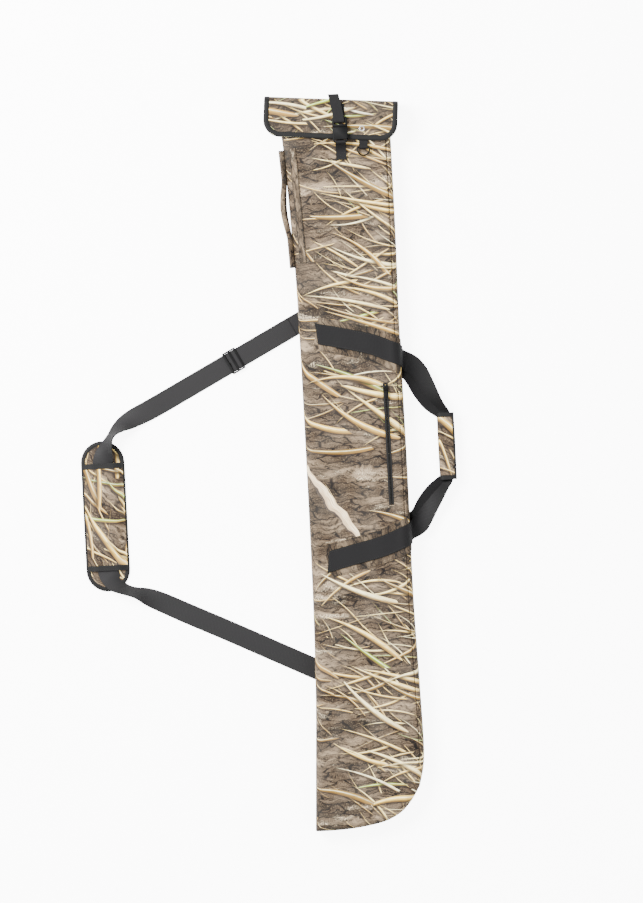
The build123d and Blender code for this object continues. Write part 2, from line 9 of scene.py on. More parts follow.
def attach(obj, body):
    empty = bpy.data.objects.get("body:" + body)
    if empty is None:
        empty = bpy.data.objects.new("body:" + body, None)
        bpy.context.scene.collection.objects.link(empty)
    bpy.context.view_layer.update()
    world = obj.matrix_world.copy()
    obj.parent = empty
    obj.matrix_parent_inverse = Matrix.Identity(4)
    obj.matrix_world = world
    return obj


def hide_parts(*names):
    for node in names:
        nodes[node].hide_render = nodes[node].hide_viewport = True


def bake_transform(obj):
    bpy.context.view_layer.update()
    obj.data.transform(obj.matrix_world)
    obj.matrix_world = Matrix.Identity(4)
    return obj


# A padded camouflage long-gun case, laid out flat with its strap and handles spread.
# Pieces are drawn in millimetres in the frame's own axes and turned to metres
# when their mesh is made.

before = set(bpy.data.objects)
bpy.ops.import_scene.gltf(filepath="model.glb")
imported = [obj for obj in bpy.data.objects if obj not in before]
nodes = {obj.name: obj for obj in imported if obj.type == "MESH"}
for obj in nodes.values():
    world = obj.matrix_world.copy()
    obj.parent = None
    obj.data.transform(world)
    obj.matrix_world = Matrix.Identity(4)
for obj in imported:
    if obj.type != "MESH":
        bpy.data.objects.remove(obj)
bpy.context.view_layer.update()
mm = 0.001
top_z = 47.6
upward = np.array((0, 0, 1.0))


# ================================================================ node boards
class Board:
    """A node tree on the bench: each call adds one node and wires what it is given."""

    def __init__(self, tree):
        self.tree = tree

    def wire(self, socket, value):
        if isinstance(value, bpy.types.NodeSocket):
            self.tree.links.new(value, socket)
        elif value is not None:
            socket.default_value = value

    def add(self, kind, *values, **settings):
        node = self.tree.nodes.new("ShaderNode" + kind)
        for key, value in settings.items():
            setattr(node, key, value)
        for socket, value in zip(node.inputs, values):
            self.wire(socket, value)
        return node

    def math(self, operation, *values, clamp=False):
        return self.add("Math", *values, operation=operation, use_clamp=clamp).outputs[0]

    def vector(self, operation, *values):
        return self.add("VectorMath", *values, operation=operation).outputs[0]

    def combine(self, x=0.0, y=0.0, z=0.0):
        return self.add("CombineXYZ", x, y, z).outputs[0]

    def separate(self, vector):
        return self.add("SeparateXYZ", vector).outputs

    def named(self, node, **values):
        """Wires a node's inputs by their names and hands back its outputs."""
        for key, value in values.items():
            self.wire(node.inputs[key.replace("_", " ")], value)
        return node.outputs

    def turn(self, vector, angle, invert=False):
        node = self.add("VectorRotate", rotation_type="Z_AXIS", invert=invert)
        return self.named(node, Vector=vector, Angle=angle)[0]

    def mix(self, share, first, second, blend="MIX"):
        node = self.add("Mix", share, data_type="RGBA", blend_type=blend)
        self.wire(node.inputs[6], first)
        self.wire(node.inputs[7], second)
        return node.outputs[2]

    def span(self, value, low, high, out_low=0.0, out_high=1.0):
        """A value carried from one range to another with soft ends."""
        return self.add("MapRange", value, low, high, out_low, out_high,
                        interpolation_type="SMOOTHSTEP").outputs[0]

    def noise(self, vector, scale, detail=3.0, roughness=0.5):
        node = self.add("TexNoise")
        return self.named(node, Vector=vector, Scale=scale, Detail=detail, Roughness=roughness)[0]

    def cells(self, vector, scale, feature="F1", randomness=1.0):
        node = self.add("TexVoronoi", feature=feature, voronoi_dimensions="2D")
        return self.named(node, Vector=vector, Scale=scale, Randomness=randomness)

    def ramp(self, value, *stops):
        node = self.add("ValToRGB", value)
        band = node.color_ramp
        while len(band.elements) < len(stops):
            band.elements.new(0.5)
        for element, (place, colour) in zip(band.elements, stops):
            element.position = place
            element.color = (*colour, 1)
        return node.outputs[0]

    def bump(self, height, distance, strength=1.0, normal=None):
        node = self.add("Bump")
        return self.named(node, Height=height, Distance=distance, Strength=strength, Normal=normal)[0]

    def place(self, group, **values):
        """A shared group set into this tree, with its own values."""
        return self.named(self.add("Group", node_tree=group), **values)


def shared_group(name, takes, gives):
    """A node group with named inputs and outputs, and the board to fill it on."""
    tree = bpy.data.node_groups.new(name, "ShaderNodeTree")
    for label, kind, value in takes:
        socket = tree.interface.new_socket(label, in_out="INPUT", socket_type="NodeSocket" + kind)
        if value is not None:
            socket.default_value = value
    for label, kind in gives:
        tree.interface.new_socket(label, in_out="OUTPUT", socket_type="NodeSocket" + kind)
    board = Board(tree)
    board.given = tree.nodes.new("NodeGroupInput").outputs
    board.result = tree.nodes.new("NodeGroupOutput").inputs
    return board


# ================================================================ shared effects
def reed_layer_group():
    """Tapered blades of dry reed, one to a cell, all leaning about the same way."""
    b = shared_group("reed_layer", [
        ("Vector", "Vector", None), ("Lean", "Float", 0.0), ("Shift", "Float", 0.0),
        ("Length", "Float", 0.16), ("Spacing", "Float", 0.03), ("Width", "Float", 0.004),
        ("Density", "Float", 0.8), ("Right Bias", "Float", 0.0), ("Bare Middle", "Float", 0.0),
        ("Green", "Float", 0.06),
    ], [("Mask", "Float"), ("Shadow", "Float"), ("Colour", "Color"), ("Height", "Float")])
    g = b.given
    moved = b.vector("ADD", g["Vector"], b.combine(g["Shift"], b.math("MULTIPLY", g["Shift"], 0.73)))
    cell_size = b.combine(g["Length"], g["Spacing"], 1.0)
    grid = b.vector("DIVIDE", b.turn(moved, g["Lean"]), cell_size)
    found = b.cells(grid, 1.0, randomness=0.9)
    centre = found["Position"]
    chance = b.add("TexWhiteNoise", centre, noise_dimensions="2D").outputs
    pick = b.add("SeparateColor", found["Color"]).outputs
    second = b.add("SeparateColor", chance["Color"]).outputs
    local = b.vector("MULTIPLY", b.vector("SUBTRACT", grid, centre), cell_size)
    local = b.turn(local, b.math("MULTIPLY", b.math("SUBTRACT", pick[0], 0.5), 0.5))
    x, y, _ = b.separate(local)
    along = b.math("DIVIDE", x, g["Length"])
    curl = b.math("MULTIPLY", b.math("SUBTRACT", pick[1], 0.5), b.math("MULTIPLY", g["Spacing"], 4.6))
    y = b.math("SUBTRACT", y, b.math("MULTIPLY", curl, b.math("POWER", b.math("ABSOLUTE", along), 2.0)))
    share = b.math("ADD", b.math("DIVIDE", along, 0.95), 0.5, clamp=True)
    point = b.math("POWER", share, 1.15)
    blunt = b.math("POWER", b.math("SUBTRACT", 1.0, share), 0.45)
    taper = b.math("MULTIPLY", b.math("MULTIPLY", point, blunt), 1.85)
    varied = b.math("ADD", b.math("MULTIPLY", pick[2], 0.9), 0.35)
    half = b.math("MULTIPLY", b.math("MULTIPLY", g["Width"], varied), taper)
    inside = b.math("SUBTRACT", half, b.math("ABSOLUTE", y))
    mask = b.math("ADD", b.math("DIVIDE", inside, 0.0005), 0.0, clamp=True)

    home = b.turn(b.vector("MULTIPLY", centre, cell_size), g["Lean"], invert=True)
    home = b.vector("SUBTRACT", home, b.combine(g["Shift"], b.math("MULTIPLY", g["Shift"], 0.73)))
    home_x, home_y, _ = b.separate(home)
    toward_right = b.span(home_x, -0.10, 0.01, 0.10, 1.0)
    kept = b.mix(g["Right Bias"], (1, 1, 1, 1), toward_right)
    middle = b.math("MULTIPLY", b.span(home_y, -0.22, -0.15), b.span(home_y, 0.02, 0.09, 1.0, 0.0))
    kept = b.math("MULTIPLY", kept, b.math("SUBTRACT", 1.0, b.math("MULTIPLY", middle, g["Bare Middle"])))
    grown = b.math("LESS_THAN", chance["Value"], b.math("MULTIPLY", kept, g["Density"]))
    b.wire(b.result["Mask"], b.math("MULTIPLY", mask, grown))

    below = b.math("SUBTRACT", b.math("MULTIPLY", half, 1.1), b.math("ABSOLUTE", b.math("ADD", y, 0.0030)))
    shade = b.math("ADD", b.math("DIVIDE", below, 0.0036), 0.45, clamp=True)
    b.wire(b.result["Shadow"], b.math("MULTIPLY", shade, grown))

    dry = b.ramp(second[0],
                 (0.0, (0.20, 0.125, 0.022)), (0.18, (0.52, 0.31, 0.055)), (0.40, (0.84, 0.57, 0.12)),
                 (0.64, (1.0, 0.77, 0.27)), (0.86, (1.0, 0.93, 0.55)), (1.0, (1.0, 1.0, 0.80)))
    fresh = b.ramp(second[0], (0.0, (0.05, 0.13, 0.008)), (1.0, (0.36, 0.56, 0.04)))
    colour = b.mix(b.math("LESS_THAN", second[1], g["Green"]), dry, fresh)
    across = b.math("DIVIDE", y, b.math("MAXIMUM", half, 0.0003))
    underside = b.span(across, 0.15, -0.75, 0.0, 0.95)
    colour = b.mix(underside, colour, (0.11, 0.058, 0.014, 1))
    rib = b.span(b.math("ABSOLUTE", b.math("SUBTRACT", across, 0.35)), 0.30, 0.0, 0.0, 0.75)
    colour = b.mix(rib, colour, (1.0, 0.98, 0.70, 1))
    streak = b.noise(b.vector("MULTIPLY", local, b.combine(60.0, 1400.0, 1.0)), 1.0, 2.0)
    colour = b.mix(b.span(streak, 0.50, 0.66, 0.0, 0.8), colour, (0.15, 0.080, 0.020, 1))
    root_end = b.span(share, 0.55, 1.0, 0.0, 0.45)
    colour = b.mix(root_end, colour, (0.32, 0.18, 0.05, 1))
    outline = b.span(inside, 0.0, 0.0007, 0.75, 0.0)
    colour = b.mix(outline, colour, (0.05, 0.024, 0.010, 1))
    b.wire(b.result["Colour"], colour)
    b.wire(b.result["Height"], mask)
    return b.tree


def bark_group():
    """Tree bark: weathered brown-grey plates, dark furrows across, pale lichen."""
    b = shared_group("bark", [("Vector", "Vector", None)], [("Colour", "Color"), ("Height", "Float")])
    place = b.given["Vector"]
    wander = b.noise(place, 20.0, 4.0, 0.6)
    sway = b.math("MULTIPLY", b.math("SUBTRACT", wander, 0.5), 0.035)
    pushed = b.vector("ADD", place, b.combine(0.0, sway))
    layered = b.vector("MULTIPLY", pushed, b.combine(0.20, 1.0, 1.0))
    plates = b.cells(layered, 105.0, feature="DISTANCE_TO_EDGE")["Distance"]
    fine = b.noise(b.vector("MULTIPLY", pushed, b.combine(0.20, 1.0, 1.0)), 260.0, 6.0, 0.75)
    crumb = b.noise(pushed, 420.0, 4.0, 0.75)
    tone = b.noise(layered, 30.0, 6.0, 0.65)
    colour = b.ramp(tone,
                    (0.36, (0.012, 0.008, 0.005)), (0.45, (0.044, 0.029, 0.018)),
                    (0.53, (0.098, 0.068, 0.042)), (0.65, (0.26, 0.19, 0.12)))
    colour = b.mix(b.span(fine, 0.40, 0.50, 0.95, 0.0), colour, (0.010, 0.006, 0.004, 1))
    colour = b.mix(b.span(crumb, 0.52, 0.68, 0.0, 0.42), colour, (0.34, 0.26, 0.16, 1))
    furrow = b.math("MULTIPLY", b.span(plates, 0.095, 0.03), b.span(tone, 0.64, 0.48))
    colour = b.mix(b.math("MULTIPLY", furrow, 0.97), colour, (0.003, 0.002, 0.002, 1))
    patches = b.noise(layered, 24.0, 5.0, 0.7)
    lichen = b.math("MULTIPLY", b.span(patches, 0.56, 0.68), b.span(crumb, 0.44, 0.60))
    colour = b.mix(b.math("MULTIPLY", lichen, 0.75), colour, (0.92, 0.76, 0.52, 1))
    b.wire(b.result["Colour"], colour)
    b.wire(b.result["Height"], fine)
    return b.tree


def reed_print_group(reed_layer, bark):
    """The printed cloth: reeds sprayed in layers over bark, each layer on its own shadow."""
    b = shared_group("reed_print", [
        ("Vector", "Vector", None), ("Density", "Float", 0.8), ("Right Bias", "Float", 0.0),
        ("Bare Middle", "Float", 0.0), ("Green", "Float", 0.06), ("Size", "Float", 1.0),
    ], [("Colour", "Color"), ("Height", "Float")])
    g = b.given
    place = b.vector("DIVIDE", g["Vector"], b.combine(g["Size"], g["Size"], g["Size"]))
    base = b.place(bark, Vector=place)
    colour, height = base["Colour"], base["Height"]
    # Each layer: lean, shift, blade length, spacing, width and share of places that grow a blade.
    layers = [
        (0.95, 3.1, 0.090, 0.022, 0.0022, 0.70),
        (0.05, 7.7, 0.130, 0.024, 0.0038, 1.0),
        (0.68, 1.3, 0.120, 0.026, 0.0034, 0.95),
        (-0.42, 5.9, 0.140, 0.036, 0.0042, 0.8),
        (0.28, 9.2, 0.180, 0.034, 0.0062, 1.0),
        (0.52, 4.4, 0.190, 0.046, 0.0074, 0.95),
        (0.10, 2.2, 0.210, 0.060, 0.0092, 0.95),
    ]
    for lean, shift, length, spacing, width, density in layers:
        layer = b.place(reed_layer, Vector=place, Lean=lean, Shift=shift, Length=length,
                        Spacing=spacing, Width=width, Density=b.math("MULTIPLY", g["Density"], density),
                        Right_Bias=g["Right Bias"], Bare_Middle=g["Bare Middle"], Green=g["Green"])
        colour = b.mix(b.math("MULTIPLY", layer["Shadow"], 0.8), colour, (0.012, 0.007, 0.005, 1))
        colour = b.mix(layer["Mask"], colour, layer["Colour"])
        height = b.math("MAXIMUM", height, b.math("MULTIPLY", layer["Mask"], 0.6))
    b.wire(b.result["Colour"], colour)
    b.wire(b.result["Height"], height)
    return b.tree


def cloth_weave_group():
    """Plain polyester cloth seen close: two sets of threads over and under."""
    b = shared_group("cloth_weave", [("Vector", "Vector", None), ("Pitch", "Float", 0.0007)],
                     [("Height", "Float"), ("Shade", "Float")])
    x, y, _ = b.separate(b.vector("SCALE", b.given["Vector"], None, None,
                                  b.math("DIVIDE", math.pi, b.given["Pitch"])))
    warp = b.math("MULTIPLY", b.math("SINE", x), b.math("COSINE", y))
    height = b.math("ADD", b.math("MULTIPLY", warp, 0.5), 0.5)
    wear = b.noise(b.given["Vector"], 24.0, 4.0)
    b.wire(b.result["Height"], height)
    b.wire(b.result["Shade"], b.span(wear, 0.3, 0.7, 0.0, 1.0))
    return b.tree


def webbing_weave_group():
    """Heavy woven webbing: ribs along its length, crossed by picks, with painted shade at the rib edges and
    in the weave's hollows.
    """
    b = shared_group("webbing_weave", [
        ("Vector", "Vector", None), ("Rib", "Float", 0.0021), ("Pick", "Float", 0.0014),
    ], [("Height", "Float"), ("Shade", "Float")])
    along, across, _ = b.separate(b.given["Vector"])
    rib = b.math("DIVIDE", across, b.given["Rib"])
    step = b.math("MULTIPLY", b.math("FLOOR", rib), math.pi / 2)
    crossing = b.math("MULTIPLY", b.math("DIVIDE", along, b.given["Pick"]), math.pi)
    pick = b.math("SINE", b.math("ADD", crossing, step))
    crest = b.math("ABSOLUTE", b.math("SINE", b.math("MULTIPLY", rib, math.pi)))
    height = b.math("MULTIPLY", b.math("POWER", crest, 0.6),
                    b.math("ADD", b.math("MULTIPLY", pick, 0.25), 0.75))
    lint = b.noise(b.given["Vector"], 900.0, 3.0, 0.7)
    b.wire(b.result["Height"], b.math("ADD", height, b.math("MULTIPLY", lint, 0.15)))
    # Shade output: painted shade, low in the weave's hollows and at the rib edges, high on the crests, varied
    # by a random lint tone.
    b.wire(b.result["Shade"], b.math("MULTIPLY", height, b.span(lint, 0.3, 0.7, 0.6, 1.0)))
    return b.tree


def scuff_group():
    """Fine scratches and handling haze for moulded and plated parts."""
    b = shared_group("scuff", [("Vector", "Vector", None), ("Grain", "Float", 1800.0)],
                     [("Height", "Float"), ("Haze", "Float"), ("Scratch", "Float")])
    grain = b.noise(b.given["Vector"], b.given["Grain"], 2.0, 0.6)
    haze = b.noise(b.given["Vector"], 70.0, 4.0, 0.6)
    drawn = b.vector("MULTIPLY", b.given["Vector"], b.combine(1.0, 14.0, 6.0))
    scratch = b.span(b.noise(drawn, 160.0, 3.0, 0.7), 0.66, 0.74)
    b.wire(b.result["Height"], grain)
    b.wire(b.result["Haze"], haze)
    b.wire(b.result["Scratch"], scratch)
    return b.tree


bark = bark_group()
reed_layer = reed_layer_group()
reed_print = reed_print_group(reed_layer, bark)
cloth_weave = cloth_weave_group()
webbing_weave = webbing_weave_group()
scuff = scuff_group()


# ================================================================ finishes
def new_finish(name):
    finish = bpy.data.materials.new(name)
    finish.use_nodes = True
    board = Board(finish.node_tree)
    shader = finish.node_tree.nodes["Principled BSDF"]
    return finish, board, shader


def set_shader(shader, **values):
    for key, value in values.items():
        shader.inputs[key.replace("_", " ")].default_value = value


# The print runs on down the walls. The drop below the front face slides it outwards, fully
# from print_edge out, and along the wall by this share of the drop.
print_edge, print_slide = 0.085, 0.35


def camo_finish(name, offset=(0, 0, 0), turn=0.0, density=0.9, right_bias=0.0, bare_middle=0.0,
                green=0.07, size=1.0, gain=1.0, branch=False):
    finish, b, shader = new_finish(name)
    place = b.add("TexCoord").outputs["Object"]
    x, y, z = b.separate(place)
    drop = b.math("SUBTRACT", z, top_z * mm)
    side = b.span(x, -print_edge, print_edge, -1.0, 1.0)
    wrapped = b.combine(b.math("SUBTRACT", x, b.math("MULTIPLY", side, drop)),
                        b.math("ADD", y, b.math("MULTIPLY", drop, print_slide)))
    moved = b.add("Mapping", wrapped, offset, (0, 0, turn)).outputs[0]
    cloth = b.place(reed_print, Vector=moved, Density=density, Right_Bias=right_bias,
                    Bare_Middle=bare_middle, Green=green, Size=size)
    colour = cloth["Colour"]
    if branch:
        colour = fallen_branch(b, place, colour)
    weave = b.place(cloth_weave, Vector=place)
    colour = b.mix(b.math("MULTIPLY", weave["Shade"], 0.03), colour, (0.75, 0.68, 0.58, 1))
    colour = b.mix(1.0, colour, (gain, gain, gain, 1), "MULTIPLY")
    b.wire(shader.inputs["Base Color"], colour)
    b.wire(shader.inputs["Roughness"], b.span(weave["Shade"], 0.0, 1.0, 0.72, 0.86))
    soft = b.bump(cloth["Height"], 0.00012, 0.5)
    b.wire(shader.inputs["Normal"], b.bump(weave["Height"], 0.00012, 0.6, soft))
    set_shader(shader, Specular_IOR_Level=0.12)
    return finish


def fallen_branch(b, place, colour):
    """One thick bleached branch that lies across the bare bark."""
    x, y, _ = b.separate(place)
    wobble = b.math("MULTIPLY", b.math("SUBTRACT", b.noise(place, 22.0, 2.0), 0.5), 0.022)
    line = b.math("ADD", b.math("MULTIPLY", x, 0.83), b.math("MULTIPLY", b.math("ADD", y, 0.068), 0.56))
    off = b.math("ADD", b.math("ADD", line, 0.036), wobble)
    run = b.math("SUBTRACT", b.math("MULTIPLY", x, 0.56), b.math("MULTIPLY", b.math("ADD", y, 0.068), 0.83))
    half = b.math("MULTIPLY", b.span(run, -0.135, -0.02, 0.003, 0.0075), b.span(run, 0.03, 0.075, 1.0, 0.0))
    inside = b.math("SUBTRACT", half, b.math("ABSOLUTE", off))
    mask = b.math("DIVIDE", inside, 0.0006, clamp=True)
    below = b.math("SUBTRACT", half, b.math("ABSOLUTE", b.math("ADD", off, 0.004)))
    shade = b.math("MULTIPLY", b.math("DIVIDE", below, 0.002, clamp=True), 0.6)
    colour = b.mix(shade, colour, (0.05, 0.04, 0.035, 1))
    grain = b.noise(b.combine(b.math("MULTIPLY", run, 40.0), b.math("MULTIPLY", off, 700.0)), 1.0, 3.0)
    wood = b.ramp(grain, (0.3, (0.22, 0.13, 0.06)), (0.48, (0.72, 0.55, 0.32)), (0.7, (1.0, 0.90, 0.66)))
    rim = b.span(b.math("DIVIDE", off, 0.0075), 0.2, -0.9, 0.0, 0.7)
    return b.mix(mask, colour, b.mix(rim, wood, (0.33, 0.22, 0.13, 1)))


def webbing_finish(name, shade, crest, rib=0.0021, pick=0.0014, depth=0.0004):
    finish, b, shader = new_finish(name)
    flat = b.add("TexCoord").outputs["UV"]
    weave = b.place(webbing_weave, Vector=flat, Rib=rib, Pick=pick)
    # Base colour runs from the shade tone in the weave's hollows to the crest tone on the rib tops: painted
    # shade and painted highlight.
    b.wire(shader.inputs["Base Color"], b.mix(weave["Shade"], (*shade, 1), (*crest, 1)))
    b.wire(shader.inputs["Roughness"], b.span(weave["Shade"], 0.0, 1.0, 0.75, 0.52))
    b.wire(shader.inputs["Normal"], b.bump(weave["Height"], depth, 0.8))
    set_shader(shader, Specular_IOR_Level=0.16)
    return finish


def cloth_finish(name, shade, light, pitch=0.0009, depth=0.0002):
    finish, b, shader = new_finish(name)
    place = b.add("TexCoord").outputs["Object"]
    weave = b.place(cloth_weave, Vector=place, Pitch=pitch)
    # Thread colour follows the weave's height: painted shade in its hollows, painted light on the raised
    # threads.
    thread = b.mix(weave["Height"], (*shade, 1), (*light, 1))
    b.wire(shader.inputs["Base Color"], b.mix(b.math("MULTIPLY", weave["Shade"], 0.3), thread, (*light, 1)))
    b.wire(shader.inputs["Roughness"], b.span(weave["Shade"], 0.0, 1.0, 0.68, 0.88))
    b.wire(shader.inputs["Normal"], b.bump(weave["Height"], depth, 0.7))
    set_shader(shader, Specular_IOR_Level=0.15)
    return finish


def moulded_finish(name, shade, light, low, high, scratch, metal=0.0, grain=1800.0):
    finish, b, shader = new_finish(name)
    marks = b.place(scuff, Vector=b.add("TexCoord").outputs["Object"], Grain=grain)
    colour = b.mix(b.span(marks["Haze"], 0.3, 0.7), (*shade, 1), (*light, 1))
    worn = b.math("MULTIPLY", marks["Scratch"], 0.5)
    b.wire(shader.inputs["Base Color"], b.mix(worn, colour, (*scratch, 1)))
    rough = b.span(marks["Haze"], 0.3, 0.7, low, high)
    b.wire(shader.inputs["Roughness"], b.math("ADD", rough, b.math("MULTIPLY", marks["Scratch"], 0.15)))
    b.wire(shader.inputs["Normal"], b.bump(marks["Height"], 0.00006, 0.5))
    set_shader(shader, Metallic=metal, Specular_IOR_Level=0.5 if metal else 0.09)
    return finish


camo_case = camo_finish("camo_case", right_bias=0.85, bare_middle=0.85, branch=True)
camo_flap = camo_finish("camo_flap", offset=(0.31, -0.12, 0), turn=-0.12, density=1.1, green=0.16,
                        gain=0.88)
camo_handle = camo_finish("camo_handle", offset=(0.62, 0.33, 0), turn=1.45, density=0.0, green=0.0,
                          gain=0.8, size=0.7)
camo_patch = camo_finish("camo_patch", offset=(0.17, 0.71, 0), turn=1.35, density=0.0, green=0.0,
                         gain=0.62)
camo_pad = camo_finish("camo_pad", offset=(0.53, 0.09, 0), turn=0.75, density=0.75, green=0.05,
                       size=1.1)

# Each webbing and tape below gets a hollow colour and a lighter crest colour for its weave: painted shade and
# painted highlight.
handle_black = (0.0014, 0.0013, 0.0015), (0.0042, 0.0039, 0.0043)
strap_webbing = webbing_finish("strap_webbing", (0.0058, 0.0056, 0.0059), (0.0130, 0.0125, 0.0130),
                               depth=0.00015)
handle_webbing = webbing_finish("handle_webbing", *handle_black, depth=0.00018)
narrow_webbing = webbing_finish("narrow_webbing", *handle_black, 0.0016, 0.0011, 0.00018)
binding_tape = webbing_finish("binding_tape", (0.0022, 0.0022, 0.0022), (0.0070, 0.0070, 0.0070),
                              0.0012, 0.0009, 0.00015)
zip_cloth = webbing_finish("zip_cloth", (0.003, 0.003, 0.003), (0.010, 0.0095, 0.009),
                           0.0008, 0.0008, 0.00015)

# Each cloth below gets a hollow colour and a lighter raised-thread colour: painted shade and painted light in
# its weave.
inner_lining = cloth_finish("inner_lining", (0.020, 0.019, 0.018), (0.050, 0.048, 0.045))
foam_finish = cloth_finish("foam_finish", (0.05, 0.05, 0.052), (0.12, 0.12, 0.12), 0.0016, 0.0004)
hook_finish = cloth_finish("hook_finish", (0.008, 0.008, 0.008), (0.05, 0.05, 0.05), 0.0013, 0.0006)
black_thread = cloth_finish("black_thread", (0.006, 0.006, 0.006), (0.025, 0.025, 0.025),
                            0.0006, 0.0001)
brown_thread = cloth_finish("brown_thread", (0.006, 0.004, 0.003), (0.024, 0.016, 0.010),
                            0.0006, 0.0001)

buckle_plastic = moulded_finish("buckle_plastic", (0.0012, 0.0012, 0.0013), (0.0030, 0.0030, 0.0031),
                                0.45, 0.6, (0.012, 0.012, 0.012))
coil_plastic = moulded_finish("coil_plastic", (0.004, 0.004, 0.004), (0.009, 0.009, 0.0088),
                              0.35, 0.5, (0.02, 0.02, 0.02))
black_plate = moulded_finish("black_plate", (0.0015, 0.0015, 0.0015), (0.004, 0.004, 0.004),
                             0.35, 0.5, (0.02, 0.02, 0.02), grain=900.0)
bright_plate = moulded_finish("bright_plate", (0.62, 0.62, 0.60), (0.78, 0.78, 0.76),
                              0.18, 0.34, (0.85, 0.85, 0.85), metal=1.0, grain=900.0)


# ================================================================ mesh helpers
def make_piece(name, points, faces, finish, uvs=None, crease=None):
    """A mesh piece from points in millimetres; uvs are per point, in metres."""
    mesh = bpy.data.meshes.new(name)
    mesh.from_pydata([tuple(c * mm for c in p) for p in points], [], faces)
    mesh.validate()
    solid = bmesh.new()
    solid.from_mesh(mesh)
    bmesh.ops.recalc_face_normals(solid, faces=solid.faces)
    solid.to_mesh(mesh)
    solid.free()
    piece = bpy.data.objects.new(name, mesh)
    bpy.context.scene.collection.objects.link(piece)
    mesh.materials.append(finish)
    mesh.shade_smooth()
    if uvs is not None:
        layer = mesh.uv_layers.new(name="flat")
        for loop in mesh.loops:
            layer.data[loop.index].uv = uvs[loop.vertex_index]
    if crease:
        mesh.set_sharp_from_angle(angle=math.radians(crease))
    return piece


def ring_faces(rings, around, closed_run=False):
    """Quads between rings of points that are each closed on themselves."""
    faces = []
    for i in range(rings if closed_run else rings - 1):
        j = (i + 1) % rings
        for k in range(around):
            m = (k + 1) % around
            faces.append((i * around + k, j * around + k, j * around + m, i * around + m))
    return faces


def end_caps(rings, around):
    """The two faces that close the first and last of a row of rings."""
    last = (rings - 1) * around
    return [tuple(range(around)), tuple(range(last + around - 1, last - 1, -1))]


def reach_along(points):
    """Distance along a line of points, from 0 at its first."""
    return np.concatenate([[0], np.cumsum(np.linalg.norm(np.diff(points, axis=0), axis=1))])


def lay_line(points, spacing=4.0):
    """A smooth run through the given rows of numbers, whose first three are a place."""
    rows = [np.array(p, float) for p in points]
    rows = [2 * rows[0] - rows[1], *rows, 2 * rows[-1] - rows[-2]]
    run = []
    for a, b, c, d in zip(rows, rows[1:], rows[2:], rows[3:]):
        steps = max(2, int(np.linalg.norm((c - b)[:3]) / spacing))
        for i in range(steps):
            t = i / steps
            run.append(0.5 * (2 * b + (c - a) * t + (2 * a - 5 * b + 4 * c - d) * t ** 2
                              + (3 * b - a - 3 * c + d) * t ** 3))
    run.append(rows[-2])
    return run


def unit(v):
    length = np.linalg.norm(v)
    return v / length if length > 1e-9 else v


def woven_solid(name, rows, thickness, finish, edge=0.35):
    """A closed strip of cloth: rows of points across it, thickened, with rounded edges."""
    grid = np.array(rows, float)
    count, wide = grid.shape[:2]
    down = np.gradient(grid, axis=0)
    side = np.gradient(grid, axis=1)
    normal = np.cross(side, down)
    normal /= np.maximum(np.linalg.norm(normal, axis=2, keepdims=True), 1e-9)
    normal = -normal if normal[:, :, 2].mean() < 0 else normal
    half = thickness / 2
    points, uvs = [], []
    distance = reach_along(grid[:, wide // 2])
    for i in range(count):
        row, lift = grid[i], normal[i] * half
        spread = reach_along(row)
        left, right = unit(row[0] - row[1]), unit(row[-1] - row[-2])
        inset = half * edge
        top = [row[k] + lift[k] for k in range(wide)]
        low = [row[k] - lift[k] for k in range(wide)]
        top[0], low[0] = top[0] - left * inset, low[0] - left * inset
        top[-1], low[-1] = top[-1] - right * inset, low[-1] - right * inset
        points += [row[0], *top, row[-1], *low[::-1]]
        flat = [0.0, *spread, spread[-1], *spread[::-1]]
        uvs += [(distance[i] * mm, v * mm) for v in flat]
    around = 2 * wide + 2
    faces = ring_faces(count, around) + end_caps(count, around)
    return make_piece(name, points, faces, finish, uvs, crease=50)


def strap_rows(stations, spacing=4.0, wide=7):
    """Rows across a strap: each station is x, y, z, width and the tilt of its face in degrees."""
    run = lay_line(stations, spacing)
    places = np.array([r[:3] for r in run])
    ahead = np.gradient(places, axis=0)
    rows = []
    for place, forward, (width, tilt) in zip(places, ahead, [r[3:5] for r in run]):
        forward = unit(forward)
        plan = np.array([forward[0], forward[1], 0.0])
        across = unit(np.array([-plan[1], plan[0], 0.0]))
        across = unit(across - forward * across.dot(forward))
        up = np.cross(forward, across)
        turn = math.radians(tilt)
        across = across * math.cos(turn) + up * math.sin(turn)
        rows.append([place + across * width * (k / (wide - 1) - 0.5) for k in range(wide)])
    return rows


def bound_edge(name, path, finish, reach=9.5, thickness=2.1, closed=False):
    """Binding tape folded over an edge: path rows are place, inward and face directions."""
    upper = [(reach, 0.72), (reach - 0.6, 1.0), (reach * 0.5, 1.08), (1.6, 1.0), (0.2, 0.72)]
    profile = [*upper, (-0.6, 0.0), *[(a, -b) for a, b in upper[::-1]]]
    points, uvs, distance = [], [], 0.0
    before = None
    for place, inward, face in path:
        place = np.array(place, float)
        if before is not None:
            distance += np.linalg.norm(place - before)
        before = place
        for k, (a, b) in enumerate(profile):
            points.append(place + np.array(inward) * a + np.array(face) * b * thickness)
            uvs.append((distance * mm, k * 2.0 * mm))
    around = len(profile)
    faces = ring_faces(len(path), around, closed)
    if not closed:
        faces += end_caps(len(path), around)
    return make_piece(name, points, faces, finish, uvs, crease=55)


